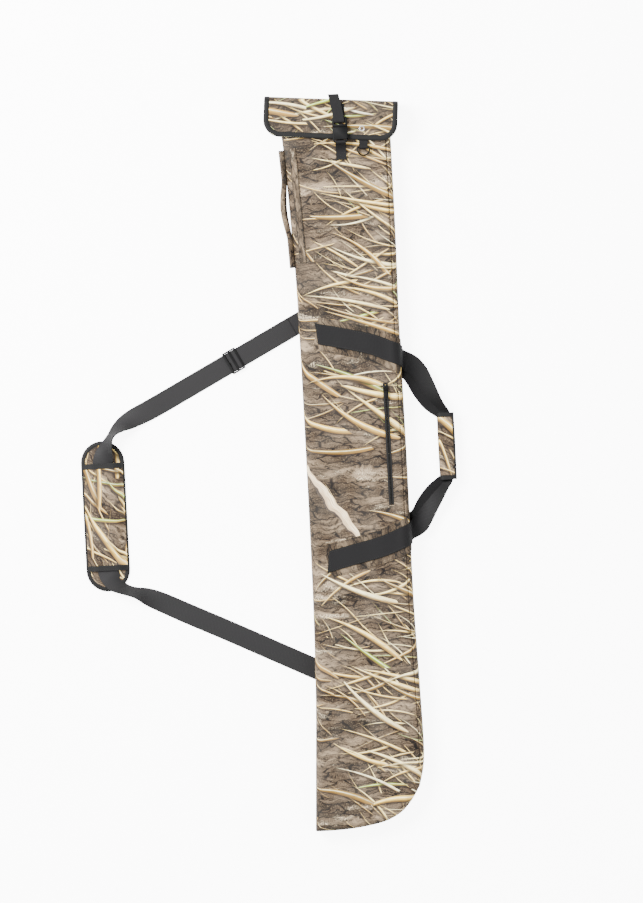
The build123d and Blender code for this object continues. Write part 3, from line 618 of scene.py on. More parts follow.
def stitch_row(name, lines, finish, pitch=4.2, length=2.9, radius=0.38):
    """Lock stitches laid along lines of points, each one a small bead of thread."""
    points, faces = [], []
    sides = 6
    # Each ring of a bead: its place along, its size, and how far it sinks or rises.
    beads = ((0, 0.3, -0.2), (0.2, 1, 0.1), (0.5, 1.1, 0.35), (0.8, 1, 0.1), (1, 0.3, -0.2))
    for line in lines:
        line = np.array(line, float)
        reach = reach_along(line)
        for start in np.arange(pitch / 2, reach[-1] - length, pitch):
            ends = [np.array([np.interp(far, reach, line[:, c]) for c in range(3)])
                    for far in (start, start + length)]
            forward = unit(ends[1] - ends[0])
            aside = unit(np.cross(forward, (0.1, 0.2, 1.0)))
            up = np.cross(forward, aside)
            first = len(points)
            for share, size, rise in beads:
                middle = ends[0] + (ends[1] - ends[0]) * share - up * rise * radius
                for k in range(sides):
                    turn = 2 * math.pi * k / sides
                    points.append(middle + (aside * math.cos(turn) + up * math.sin(turn)) * radius * size)
            faces += [tuple(first + i for i in f) for f in ring_faces(len(beads), sides)]
            faces.append(tuple(first + k for k in range(sides - 1, -1, -1)))
            faces.append(tuple(first + (len(beads) - 1) * sides + k for k in range(sides)))
    return make_piece(name, points, faces, finish)


# ================================================================ the case's plan
back_z = 0.9
front_roll, back_roll = 13.0, 8.0
left_side = [
    (-107, -675), (-101, -560), (-94, -420), (-90, -247), (-89, 0), (-90, 312), (-95, 470), (-101, 590),
    (-106, 647),
]
right_side = [
    (88, -602), (97, -565), (100, -520), (98, -400), (95, -247), (96, 0), (95, 250), (97, 440),
    (97, 647),
]
toe_side = [
    (-107, -675), (-75, -675), (-43, -673.5), (-10, -669.5), (21, -663), (42, -654), (57, -644),
    (70, -630), (80, -616), (88, -602),
]
seam_inset, seam_width, seam_depth, seam_low_y = 8.5, 1.6, 1.9, -560
zip_x, zip_low_y, zip_high_y = 64.0, -75.0, 152.0


def flat_line(points, shares):
    """Places along a smooth plan line at the given shares of its length."""
    run = np.array(lay_line([(*p, 0) for p in points], 3.0))[:, :2]
    reach = reach_along(run)
    wanted = np.array(shares) * reach[-1]
    return np.stack([np.interp(wanted, reach, run[:, c]) for c in range(2)], axis=1)


def clustered(length, middle, ends=(0, 0.7, 2, 4, 6.5, 7.8, 8.5, 9.2, 10.5, 13, 17, 23)):
    """Shares from 0 to 1 that crowd together over the rolled edges at both ends."""
    near = [e / length for e in ends]
    far = [1 - n for n in near[::-1]]
    inner = np.linspace(near[-1], far[0], middle + 2)[1:-1]
    return [*near, *inner, *far]


outline = np.vstack([flat_line(left_side[::-1], np.linspace(0, 1, 160)),
                     flat_line(toe_side, np.linspace(0, 1, 60))[1:],
                     flat_line(right_side, np.linspace(0, 1, 160))[1:]])


def edge_distance(places):
    """How far each plan place lies from the case's outer edge."""
    places = np.atleast_2d(places)
    a, b = outline[:-1], outline[1:]
    run = b - a
    rel = places[:, None, :] - a[None]
    share = np.clip((rel * run).sum(2) / (run * run).sum(1), 0, 1)
    gap = rel - share[:, :, None] * run
    return np.sqrt((gap ** 2).sum(2)).min(1)


def ripple(x, y):
    """Slack in the cloth: shallow hollows, mostly just under the panel's flat face."""
    slow = noise.noise(Vector((x * 0.010, y * 0.0065, 3.0)))
    quick = noise.noise(Vector((x * 0.035, y * 0.022, 8.0)))
    return -0.9 + 1.1 * slow + 0.35 * quick


def rolled(distance, radius):
    """How far a rolled edge drops below the flat, at a distance in from the edge."""
    near = np.clip(radius - distance, 0, radius)
    return radius - np.sqrt(np.maximum(radius ** 2 - near ** 2, 0))


right_run = flat_line(right_side, np.linspace(0, 1, 200))


def right_x(y):
    return float(np.interp(y, right_run[:, 1], right_run[:, 0]))


def front_z(x, y, distance=None):
    """Height of the front panel: rolled at its edge, sunk a little at the zip and the long seam."""
    distance = edge_distance([(x, y)])[0] if distance is None else distance
    calm = min(1.0, distance / 25)
    beside_zip = zip_low_y - 7 < y < zip_high_y + 6
    zip_dip = math.exp(-((x - zip_x) / 7.5) ** 2) if beside_zip else 0.0
    off_seam = (right_x(y) - x - seam_inset) / seam_width
    seam = math.exp(-off_seam ** 2) if y > seam_low_y else 0.0
    flat = top_z - rolled(distance, front_roll) + ripple(x, y) * calm
    return flat - zip_dip * 0.5 - seam * seam_depth


def case_shell(inset, roof, floor, roof_roll, floor_roll, columns, rows, wall_steps, cloth):
    """Rings of points round the case from toe to mouth, then a cap over the toe."""
    width, length = 190.0, 1320.0
    across = clustered(width, columns)
    # The mouth end isn't rolled, so the rows that crowd there are dropped.
    down = clustered(length, rows)[:-11]
    down[-1] = 1.0
    left, right = flat_line(left_side, down), flat_line(right_side, down)
    toe = flat_line(toe_side, across)
    mouth = left[-1] + (right[-1] - left[-1]) * np.array(across)[:, None]
    t, v = np.array(across)[None, :, None], np.array(down)[:, None, None]
    plan = (1 - v) * toe[None] + v * mouth[None] + (1 - t) * left[:, None] + t * right[:, None]
    plan -= ((1 - t) * (1 - v) * toe[0] + t * (1 - v) * toe[-1]
             + (1 - t) * v * mouth[0] + t * v * mouth[-1])
    if inset:
        centre_x = plan[:, :, 0].mean(1, keepdims=True)
        plan[:, :, 0] = centre_x + (plan[:, :, 0] - centre_x) * (1 - inset / (width / 2))
        plan[:, :, 1] += inset * (1 - np.array(down))[:, None] ** 8
    count, wide = plan.shape[:2]
    gap = edge_distance(plan.reshape(-1, 2)).reshape(count, wide)
    gap = np.maximum(gap - inset, 0)
    high = np.empty((count, wide))
    for i in range(count):
        for k in range(wide):
            x, y = plan[i, k]
            if cloth:
                high[i, k] = front_z(x, y, gap[i, k])
            else:
                high[i, k] = roof - rolled(gap[i, k], roof_roll)
    low = floor + rolled(gap, floor_roll)

    def wall(i, k, outward):
        """Points down the side wall between the front and back panels."""
        top, bottom = high[i, k], low[i, k]
        column = []
        for s in range(1, wall_steps):
            share = s / wall_steps
            bulge = 1.6 * math.sin(math.pi * share) * (1 if not inset else 0.3)
            place = plan[i, k] + np.array(outward) * bulge
            column.append((*place, top + (bottom - top) * share))
        return column

    points = []
    for i in range(count):
        front = [(*plan[i, k], high[i, k]) for k in range(wide)]
        back = [(*plan[i, k], low[i, k]) for k in range(wide - 1, -1, -1)]
        points += front + wall(i, wide - 1, (1, 0)) + back + wall(i, 0, (-1, 0))[::-1]
    around = 2 * wide + 2 * (wall_steps - 1)
    faces = ring_faces(count, around)
    cap = [list(range(wide))]
    inner = [wall(0, k, (0, -1)) for k in range(1, wide - 1)]
    for s in range(1, wall_steps):
        row = [around - s]
        for column in inner:
            row.append(len(points))
            points.append(column[s - 1])
        row.append(wide + s - 1)
        cap.append(row)
    cap.append([2 * wide + wall_steps - 2 - k for k in range(wide)])
    for a, b in zip(cap, cap[1:]):
        faces += [(a[k], a[k + 1], b[k + 1], b[k]) for k in range(wide - 1)]
    return points, faces, count, around


def make_case():
    shape = dict(columns=14, rows=110, wall_steps=5)
    outer, outer_faces, count, around = case_shell(0, top_z, back_z, front_roll, back_roll,
                                                   cloth=True, **shape)
    inner, inner_faces, _, _ = case_shell(10.0, top_z - 9.5, back_z + 9.5, 6.0, 6.0,
                                          cloth=False, **shape)
    cover = make_piece("case_cover", outer, outer_faces, camo_case)
    pocket = make_piece("case_lining", inner, [f[::-1] for f in inner_faces], inner_lining)
    last = (count - 1) * around
    rim_path = []
    for k in range(around):
        out, inn = np.array(outer[last + k]), np.array(inner[last + k])
        middle = (out + inn) / 2
        rim_path.append((middle, unit(out - inn), np.linalg.norm(out - inn)))
    points = []
    profile = [(-0.62, -9), (-0.56, 1.0), (0, 2.6), (0.56, 1.0), (0.62, -9), (0.4, -7), (0, -2),
               (-0.4, -7)]
    for middle, outward, gap in rim_path:
        for a, along in profile:
            points.append(middle + outward * gap * a + np.array((0, along, 0)))
    faces = ring_faces(around, len(profile), closed_run=True)
    uvs = [(i * 4 * mm, k * 2 * mm) for i in range(around) for k in range(len(profile))]
    rim = make_piece("mouth_binding", points, faces, binding_tape, uvs)
    seam = []
    for y in np.linspace(seam_low_y, 640, 300):
        x = right_x(y) - seam_inset
        seam.append((x, y, front_z(x, y) + 0.9))
    stitches = stitch_row("case_seam_stitches", [seam], brown_thread, 3.4, 2.9, 0.75)
    for piece in (cover, pocket, rim, stitches):
        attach(piece, "case")
    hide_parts("front_shell", "back_shell", "left_edge_wall", "left_handle_wall",
                "right_edge_wall", "toe_wall", "front_foam", "back_foam")
    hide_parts("front_lining", "back_lining")


make_case()


# ================================================================ flap
flap_turn = math.radians(-5.1)
fold_x, fold_y = -9.0, 681.0
flap_half, flap_reach, flap_corner = 124.3, 70.0, 31.0
mouth_line = 646.0
flap_z = 52.9
fold_profile = [
    (-12, 1.7), (-6.5, 1.9), (-2.0, 3.6), (1.4, 8.5), (3.0, 16), (3.4, 27), (3.2, 37), (1.6, 45.5),
    (-2.2, 50.9), (-8, 52.7), (-16, 53.0), (-34, flap_z), (-52, flap_z), (-flap_reach, flap_z),
]
middle_fold = 5


def on_flap(u, v, z=0.0):
    """A place in the flap's own directions, fold along u, carried to the case."""
    c, s = math.cos(flap_turn), math.sin(flap_turn)
    return np.array((fold_x + u * c - v * s, fold_y + u * s + v * c, z))


def flap_way(u, v):
    """A direction along the flap, carried to the case."""
    return on_flap(u, v) - on_flap(0, 0)


def flap_half_at(v):
    """Half the flap's width: full beside the fold, rounded at its free corners."""
    into = -v - (flap_reach - flap_corner)
    if into <= 0:
        return flap_half
    return flap_half - flap_corner + math.sqrt(max(flap_corner ** 2 - into ** 2, 0))


def fold_rows(profile, steps, columns=25):
    """Rows of the flap sheet along its profile, each from edge to edge."""
    run = [r[:2] for r in lay_line([(v, z, 0) for v, z in profile], steps)]
    rows = []
    for v, z in run:
        half = flap_half_at(v)
        row = []
        for share in np.linspace(-1, 1, columns):
            u = half * share
            dip = 0.35 * noise.noise(Vector((u * 0.03, v * 0.05, z * 0.05)))
            row.append(on_flap(u, v, z + dip))
        rows.append(row)
    return rows, run


def side_run(run, side):
    """The flap's side edge as binding rows: place, inward and face."""
    path = []
    for i, (v, z) in enumerate(run):
        before, after = run[max(i - 1, 0)], run[min(i + 1, len(run) - 1)]
        ahead = unit(np.array((after[0] - before[0], after[1] - before[1])))
        face = flap_way(0, ahead[1])
        face[2] = -ahead[0]
        path.append((on_flap(side * flap_half, v, z), flap_way(-side, 0), face))
    return path


def make_flap():
    back_profile = fold_profile[:middle_fold + 1]
    front_profile = fold_profile[middle_fold:]
    rows, run = fold_rows(back_profile, 2.5)
    root, root_steps = [], 6
    for share in np.arange(root_steps) / root_steps:
        sag = -2.0 * math.sin(math.pi * share / 2) * (1 - share)
        row = []
        for place in rows[0]:
            start = place + flap_way(0, -1) * (place[1] - mouth_line)
            start[2] = 4.6
            row.append(start + (place - start) * share + upward * sag)
        root.append(row)
    back = woven_solid("flap_back_cloth", root + rows, 3.2, camo_flap)
    rows, front_run = fold_rows(front_profile, 3.0)
    straight_end = flap_half - flap_corner
    rows[-1] = [on_flap(u, -flap_reach + 0.4, flap_z)
                for u in np.linspace(-straight_end, straight_end, len(rows[0]))]
    front = woven_solid("flap_front_cloth", rows, 3.2, camo_flap)
    edges = {}
    for label, side in (("left", -1), ("right", 1)):
        root_v = -34.9 if side < 0 else -24.0
        root_run = [(root_v + 10 * k / 4, 3.4 - 1.6 * k / 4) for k in range(4)]
        edges[label] = bound_edge(f"flap_back_binding_{label}", side_run(root_run + run, side),
                                  binding_tape)
    straight = [p for p in front_run if p[0] > -(flap_reach - flap_corner)]
    path = side_run(straight, -1)
    for side, turns in ((-1, np.linspace(0, 90, 12)), (1, np.linspace(90, 0, 12))):
        for turn in np.radians(turns):
            out_u, out_v = side * math.cos(turn), -math.sin(turn)
            u = side * (flap_half - flap_corner) + out_u * flap_corner
            v = -(flap_reach - flap_corner) + out_v * flap_corner
            path.append((on_flap(u, v, flap_z), flap_way(-out_u, -out_v), upward))
        if side < 0:
            for u in np.linspace(-88, 88, 40):
                path.append((on_flap(u, -flap_reach, flap_z), flap_way(0, 1), upward))
    path += side_run(straight, 1)[::-1]
    binding = bound_edge("flap_front_binding", path, binding_tape)
    seam = [place + inward * 8.0 + upward * 2.35 for place, inward, face in path if face[2] > 0.95]
    stitches = stitch_row("flap_stitches", [seam], black_thread)

    for piece in (back, edges["left"], edges["right"]):
        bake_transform(piece)
    for piece in (front, binding):
        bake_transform(piece)
    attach(stitches, "flap")
    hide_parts("flap_root", "flap_bridge")
    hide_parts("flap_panel", "flap_lining")
    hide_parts("flap_binding")


make_flap()


# ================================================================ closure
def fixed_rows(path, x, width, lean=0.0, wide=5, spacing=1.2):
    """Rows of a narrow strap that keeps its width along X while it turns on itself."""
    run = lay_line([(0, y, z) for y, z in path], spacing)
    reach = reach_along(run)
    rows = []
    for place, far in zip(run, reach / reach[-1]):
        shift = x + lean * far ** 1.6
        rows.append([(shift + width * (k / (wide - 1) - 0.5), place[1], place[2]) for k in range(wide)])
    return rows


def make_closure():
    strap_x, ring_x = 4.5, 46.6
    base_path = [(646, 55.8), (660, 55.8), (675, 55.6)]
    base = woven_solid("closure_webbing_base", fixed_rows(base_path, strap_x, 20), 1.4,
                       narrow_webbing)
    tail_path = [
        (652, 57.4), (646, 57.3), (642.4, 57.5), (639.6, 58.6), (639.4, 60.6), (642.0, 61.9),
        (648, 62.1), (660, 62.0), (674, 61.9), (684, 61.3), (693, 60.4),
    ]
    tail = woven_solid("closure_webbing_tail", fixed_rows(tail_path, strap_x, 20, lean=-9.5), 1.4,
                       narrow_webbing)
    tab_path = [
        (571, 48.9), (590, 49.0), (597, 51.2), (602, 54.0), (605.2, 54.4), (606.3, 57), (606.3, 62),
        (605.2, 64.8), (602.4, 65.1), (600.4, 63), (597.4, 58), (592, 53.2), (585, 50.8), (571, 50.4),
    ]
    tab = woven_solid("buckle_tab_webbing", fixed_rows(tab_path, strap_x, 19.4), 1.3,
                      narrow_webbing)
    ring_path = [
        (617, 48.8), (602, 48.9), (594.5, 48.9), (590.6, 49.6), (589.3, 51.2), (590.5, 53.0),
        (593.5, 53.4), (600, 51.4), (608, 50.4), (617, 50.3),
    ]
    ring_tab = woven_solid("d_ring_tab_webbing", fixed_rows(ring_path, ring_x, 16), 1.2,
                           narrow_webbing)
    x0, x1, y0, y1, low, high = strap_x - 8.1, strap_x + 8.1, 573, 584, 51.2, 51.4
    around = (x0, y0), (x1, y0), (x1, y1), (x0, y1), (x0, y0)
    box = [[(x, y, low) for x, y in around], [(x0, y0, low), (x1, y1, high)],
           [(x0, y1, high), (x1, y0, low)]]
    tack = stitch_row("buckle_tab_stitches", box, black_thread, 3.0, 2.0, 0.35)
    for piece, body, node in ((base, "flap", "closure_strap_base"),
                              (tail, "buckle_male", "closure_strap_tail"),
                              (tab, "case", "buckle_tab"), (ring_tab, "case", "d_ring_tab")):
        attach(piece, body)
        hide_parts(node)
    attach(tack, "case")


make_closure()


# ================================================================ carry handles
def over_front(s, y, lift):
    """A place s along the front panel from X 0, carried over the rolled edge and down the wall."""
    edge = right_x(y)
    flat_end = edge - front_roll
    if s <= flat_end:
        return np.array((s, y, front_z(s, y) + lift))
    crest = top_z - 0.6
    turn = (s - flat_end) / front_roll
    if turn < math.pi / 2:
        radius = front_roll + lift
        return np.array((flat_end + radius * math.sin(turn), y, crest - front_roll + radius * math.cos(turn)))
    drop = s - flat_end - front_roll * math.pi / 2
    return np.array((edge + lift + 1.2, y, crest - front_roll - drop))


def under_back(s, y, lift):
    """The same along the back panel, turned up round the lower edge."""
    edge = right_x(y)
    flat_end = edge - back_roll
    if s <= flat_end:
        return np.array((s, y, lift))
    turn = (s - flat_end) / back_roll
    if turn < math.pi / 2:
        radius = back_roll + 1.3 - lift
        return np.array((flat_end + radius * math.sin(turn), y, back_roll + 1.3 - radius * math.cos(turn)))
    rise = s - flat_end - back_roll * math.pi / 2
    return np.array((edge + 2.4, y, back_roll + 1.3 + rise))


def sewn_rows(line, width, lift, surface, wide, cut=0.0):
    """Rows of a strip sewn along a line of s, y places on a panel."""
    run = np.array(lay_line([(*p, 0) for p in line], 3.0))[:, :2]
    ahead = np.gradient(run, axis=0)
    rows = []
    for i, ((s, y), forward) in enumerate(zip(run, ahead)):
        forward = unit(forward)
        across = np.array((-forward[1], forward[0]))
        slant = cut * max(0.0, 1 - i / 9)
        row = []
        for k in range(wide):
            off = width * (k / (wide - 1) - 0.5)
            row.append(surface(*(np.array((s, y)) + across * off + forward * slant * off), lift))
        rows.append(row)
    return rows


def eased(rows, first, last, rounds=4):
    """Softens a run of rows where a sewn strip leaves the panel."""
    grid = np.array(rows)
    for _ in range(rounds):
        window = grid[first:last].copy()
        grid[first:last] = (grid[first - 1:last - 1] + window * 2 + grid[first + 1:last + 1]) / 4
    return grid


wide_webbing = 38.0
patch_width = 62.0
upper_line = [(-59, 250), (-10, 239), (43, 225), (80, 209), (103, 199.5), (114, 195)]
lower_line = [(-59, -175), (-10, -163.5), (43, -151.3), (80, -137.5), (103, -128), (114, -123.5)]
upper_back = [(-59, 250), (-10, 238), (43, 218), (80, 196), (96, 185), (103, 180)]
lower_back = [(-59, -175), (-10, -163), (43, -144), (80, -124), (96, -114), (103, -109)]
# Stations along each loop: x, y, z, width and the tilt of its face.
front_loop = [
    (103, 192, 16.5, 37, 10), (112, 188, 15.5, 36, 6), (128, 171, 13.5, 34, 12),
    (141, 146, 12.5, 32, 22), (153, 120, 14, 31, 36), (165, 100, 15.6, 28, 44), (171, 88, 16.3, 24, 18),
    (172.5, 70, 16.3, 22, 0), (172.5, 29, 16.3, 22, 0), (172.5, -12, 16.3, 22, 0),
    (171, -30, 16.3, 24, 18), (165, -42, 15.6, 28, 44), (151, -62, 14, 31, 36), (136, -84, 12.5, 32, 22),
    (123, -104, 13.5, 34, 12), (112, -118, 15.5, 36, 6), (103, -121, 16.5, 37, 10),
]
rear_loop = [
    (104, 176, 12.8, 36, -6), (111, 171, 10.5, 35, -6), (119, 156, 8, 32, -8), (129, 134, 7.5, 30, -12),
    (144, 111, 9, 28, -16), (160, 97, 11.5, 26, -16), (170, 88, 13.4, 23, -6), (172.5, 70, 13.6, 22, 0),
    (172.5, 29, 13.6, 22, 0), (172.5, -12, 13.6, 22, 0), (170, -30, 13.4, 23, -6),
    (158, -40, 11.5, 26, -16), (142, -54, 9, 28, -16), (127, -74, 7.5, 30, -12), (118, -92, 8, 32, -8),
    (111, -103, 10.5, 35, -6), (104, -106, 12.8, 36, -6),
]


def handle_run(name, upper, lower, loop, surface, lift, cuts):
    """One length of webbing: sewn on at the top, out round the grip and sewn on again below."""
    first = sewn_rows(upper, wide_webbing, lift, surface, 7, cuts[0])
    middle = strap_rows(loop, 3.5)
    last = [row[::-1] for row in sewn_rows(lower, wide_webbing, lift, surface, 7, cuts[1])][::-1]
    rows = [*first, *middle, *last]
    grid = eased(rows, len(first) - 3, len(first) + 4)
    join = len(first) + len(middle)
    grid = eased(grid, join - 4, join + 3)
    return woven_solid(name, grid, 2.0, handle_webbing)


def make_handles():
    patch_lift, strap_lift, back_patch_lift, back_strap_lift = 0.75, 2.5, 0.78, 1.05
    front = handle_run("front_handle_webbing", upper_line, lower_line, front_loop, over_front,
                       strap_lift, (-0.33, 0.39))
    rear = handle_run("rear_handle_webbing", upper_back, lower_back, rear_loop, under_back,
                      back_strap_lift, (0, 0))
    for piece in (front, rear):
        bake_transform(piece)
    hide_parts("front_upper_webbing", "front_lower_webbing", "front_handle_loop")
    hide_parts("back_upper_webbing", "back_lower_webbing", "rear_handle_loop")
    patches = [("front_upper_patch", upper_line, over_front, patch_lift),
               ("front_lower_patch", lower_line, over_front, patch_lift),
               ("back_upper_patch", upper_back, under_back, back_patch_lift),
               ("back_lower_patch", lower_back, under_back, back_patch_lift)]
    edge_lines = []
    for node, line, surface, lift in patches:
        if surface is over_front:
            line = [(line[0][0] - 1.5, line[0][1] + 0.4), *line[1:-1]]
        else:
            line = line[:-2]
        rows = sewn_rows(line, patch_width, lift, surface, 13)
        piece = woven_solid(node + "_cloth", rows, 1.2, camo_patch)
        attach(piece, "case")
        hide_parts(node)
        if surface is over_front:
            s, y = line[0]
            patch_rise, strap_rise = patch_lift + 0.7, strap_lift + 1.1
            for width, sewn, rise in ((patch_width - 5, line[:-1], patch_rise),
                                      (wide_webbing - 5, [(s + 3, y), *line[1:-1]], strap_rise)):
                strip = sewn_rows(sewn, width, rise, surface, 3)
                edge_lines += [[r[0] for r in strip], [r[2] for r in strip]]
            end = sewn_rows([(s + 4.5, y), (s + 5.5, y)], wide_webbing - 5, strap_rise, surface, 9)
            edge_lines.append(end[0])
    stitches = stitch_row("handle_stitches", edge_lines, black_thread, 4.0, 2.8, 0.36)
    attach(stitches, "case")


make_handles()


# ================================================================ grip wrap
grip_left, grip_right, grip_low, grip_high = 157.5, 188.5, 3.0, 27.0
grip_y = (-33.5, 91.5)
grip_split = 20.2


def grip_section(offset=0.0, corner=7.5):
    """The wrap's rounded section, from the hinge side round the bottom and back over the top."""
    x0, x1, z0, z1 = grip_left - offset, grip_right + offset, grip_low - offset, grip_high + offset
    r = corner + offset
    path = []
    corners = ((x0 + r, z0 + r, 180), (x1 - r, z0 + r, 270), (x1 - r, z1 - r, 0), (x0 + r, z1 - r, 90))
    for cx, cz, start in corners:
        for turn in np.radians(np.linspace(start, start + 90, 9)):
            path.append((cx + r * math.cos(turn), cz + r * math.sin(turn)))
    parted = grip_split + 0.3
    low = [(x0, grip_split), *[p for p in path if p[1] < grip_split], (x1, grip_split)]
    high = [(x1, parted), *[p for p in path if p[1] > parted], (x0, parted)]
    return low, high


def grip_rows(section, y0, y1, steps):
    """The section drawn along Y, a little fuller in its middle."""
    middle_x, middle_z = (grip_left + grip_right) / 2, (grip_low + grip_high) / 2
    rows = []
    for y in np.linspace(y0, y1, steps):
        share = (y - grip_y[0]) / (grip_y[1] - grip_y[0])
        full = 1 + 0.035 * math.sin(math.pi * share) + 0.01 * noise.noise(Vector((0, y * 0.09, 4)))
        rows.append([(middle_x + (x - middle_x) * full, y, middle_z + (z - middle_z) * full)
                     for x, z in section])
    return rows


def make_grip():
    tray_section, cover_section = grip_section(-1.3)
    cloth_y = grip_y[0] + 1, grip_y[1] - 1
    tray = woven_solid("grip_tray_cloth", grip_rows(tray_section, *cloth_y, 32), 2.2, camo_handle)
    cover = woven_solid("grip_cover_cloth", grip_rows(cover_section, *cloth_y, 32), 2.2, camo_pad)
    tray_band, cover_band = grip_section(-0.2)
    bands = {}
    for label, section in (("tray", tray_band), ("cover", cover_band)):
        for end, (y0, y1) in (("low", (grip_y[0], grip_y[0] + 8)), ("high", (grip_y[1] - 8, grip_y[1]))):
            bands[label, end] = woven_solid(f"grip_{label}_band_{end}", grip_rows(section, y0, y1, 4), 1.4,
                                            binding_tape)
    edge_section = [p for p in cover_band if p[0] > grip_right - 4]
    edge = woven_solid("grip_cover_edge", grip_rows(edge_section, grip_y[0] + 8, grip_y[1] - 8, 24),
                       1.4, binding_tape)
    room = 3.4
    x0, x1, z0 = grip_left + room, grip_right - room, grip_low + room
    slot0, slot1, slot_floor, foam_top = 161.2, 184.8, 11.9, 19.8
    foam_section = [(x0 + 4, z0), (x1 - 4, z0), (x1, z0 + 4), (x1, foam_top), (slot1, foam_top),
                    (slot1, slot_floor), (slot0, slot_floor), (slot0, foam_top), (x0, foam_top),
                    (x0, z0 + 4)]
    rings, count = 12, len(foam_section)
    points = [(x, y, z) for y in np.linspace(grip_y[0] + 3, grip_y[1] - 3, rings)
              for x, z in foam_section]
    faces = ring_faces(rings, count) + end_caps(rings, count)
    foam = make_piece("grip_foam", points, faces, foam_finish, crease=30)
    hook_rows = [[(x, y, 23.2) for x in (177.2, 180, 182.5, 185)] for y in np.linspace(-24, 82, 20)]
    hook = woven_solid("grip_hook_patch", hook_rows, 1.2, hook_finish)
    for piece in (tray, foam, bands["tray", "low"], bands["tray", "high"]):
        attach(piece, "carry_handle")
    for piece in (cover, edge, hook, bands["cover", "low"], bands["cover", "high"]):
        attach(piece, "grip_cover")
    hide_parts("grip_wrap_tray")
    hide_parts("grip_filler")
    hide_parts("grip_wrap_cover")
    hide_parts("grip_hook_strip")
    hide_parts("grip_tray_binding")
    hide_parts("grip_cover_binding")


make_grip()


# ================================================================ side grab handle
left_run = flat_line(left_side, np.linspace(0, 1, 200))


def left_x(y):
    return float(np.interp(y, left_run[:, 1], left_run[:, 0]))


def make_grab_handle():
    low_y, high_y, sewn, border_in = 376.0, 594.0, 54.0, 14.5
    rows = []
    for y in np.linspace(low_y, high_y, 70):
        free = min(max((y - low_y - sewn) / (high_y - low_y - 2 * sewn), 0), 1)
        bow = 6.0 * math.sin(math.pi * free) ** 1.3
        x = left_x(y) - 5.4 - bow
        lean = 0.05 + 0.12 * math.sin(math.pi * free)
        row = []
        for share in np.linspace(0, 1, 11):
            z = 12 + 28 * share
            hug = rolled(max(0.0, front_roll - (z - 31)), front_roll) if z > 31 else 0.0
            belly = 1.2 * math.sin(math.pi * share)
            row.append((x - belly - (z - 24) * lean + hug * (1 - math.sin(math.pi * free)), y, z))
        rows.append(row)
    handle = woven_solid("grab_handle", rows, 8.4, camo_handle)
    border = []
    for share in np.linspace(0, 1, 60):
        y = 384 + (597 - 384) * share
        x = left_x(y) + border_in
        border.append([(x + a, y, front_z(x + a, y) + 1.1) for a in np.linspace(-6.5, 6.5, 7)])
    band = woven_solid("grab_handle_border", border, 2.2, camo_handle)
    tacks = []
    for y in (low_y + 1, low_y + sewn, high_y - sewn, high_y - 1):
        x = left_x(y)
        for shift in (-0.8, 0.8):
            tacks.append([(x - 10.2, y + shift, 36), (x - 9.2, y + shift, 41.8), (x - 5.0, y + shift, 44.2),
                          (x - 0.6, y + shift, 43.6)])
    for line_x in (border_in - 5.2, border_in + 5.2):
        tacks.append([(left_x(y) + line_x, y, front_z(left_x(y) + line_x, y) + 2.3)
                      for y in np.linspace(386, 595, 40)])
    stitches = stitch_row("grab_handle_stitches", tacks, black_thread, 3.2, 2.4, 0.5)
    for piece in (handle, band, stitches):
        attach(piece, "case")
    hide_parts("grab_handle_lower_end", "grab_handle_upper_end", "grab_handle_loop")


make_grab_handle()


# ================================================================ zip pocket
def make_zip():
    for label, side in (("left", -1), ("right", 1)):
        rows = [[(zip_x + side * (1.5 + 3.4 * k / 4), y, 47.35 - 0.15 * k / 4) for k in range(5)]
                for y in np.linspace(zip_low_y, zip_high_y, 60)]
        tape = woven_solid(f"zip_tape_{label}", rows, 0.9, zip_cloth)
        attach(tape, "case")
        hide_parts(f"zipper_{label}_tape")
    points, faces = [], []
    tooth = [(-1.9, -0.42, 0), (0.9, -0.42, 0), (1.3, 0, 0), (0.9, 0.42, 0), (-1.9, 0.42, 0)]
    for n, y in enumerate(np.arange(zip_low_y + 3.6, zip_high_y - 3.4, 0.95)):
        side = 1 if n % 2 else -1
        first = len(points)
        for z, grow in ((46.9, 1.0), (48.0, 1.0), (48.3, 0.6)):
            points += [(zip_x - side * px * grow * 0.95, y + py * grow, z) for px, py, _ in tooth]
        faces += [tuple(first + i for i in f) for f in ring_faces(3, 5)]
        faces += [tuple(first + k for k in range(5)), tuple(first + 14 - k for k in range(5))]
    coil = make_piece("zip_coil", points, faces, coil_plastic)
    lines = [[(x, y, front_z(x, y) + 0.3) for y in np.linspace(zip_low_y - 3, zip_high_y + 3, 60)]
             for x in (zip_x - 7, zip_x + 7)]
    stitches = stitch_row("zip_stitches", lines, black_thread, 3.4, 2.4, 0.3)
    pocket_rows = [[(x, y, 44.9) for x in np.linspace(-41, 69, 9)] for y in np.linspace(-69, 146, 16)]
    bag = woven_solid("pocket_bag_cloth", pocket_rows, 1.2, inner_lining)
    for piece in (coil, stitches, bag):
        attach(piece, "case")
    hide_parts("zipper_teeth")
    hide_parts("pocket_bag")


make_zip()


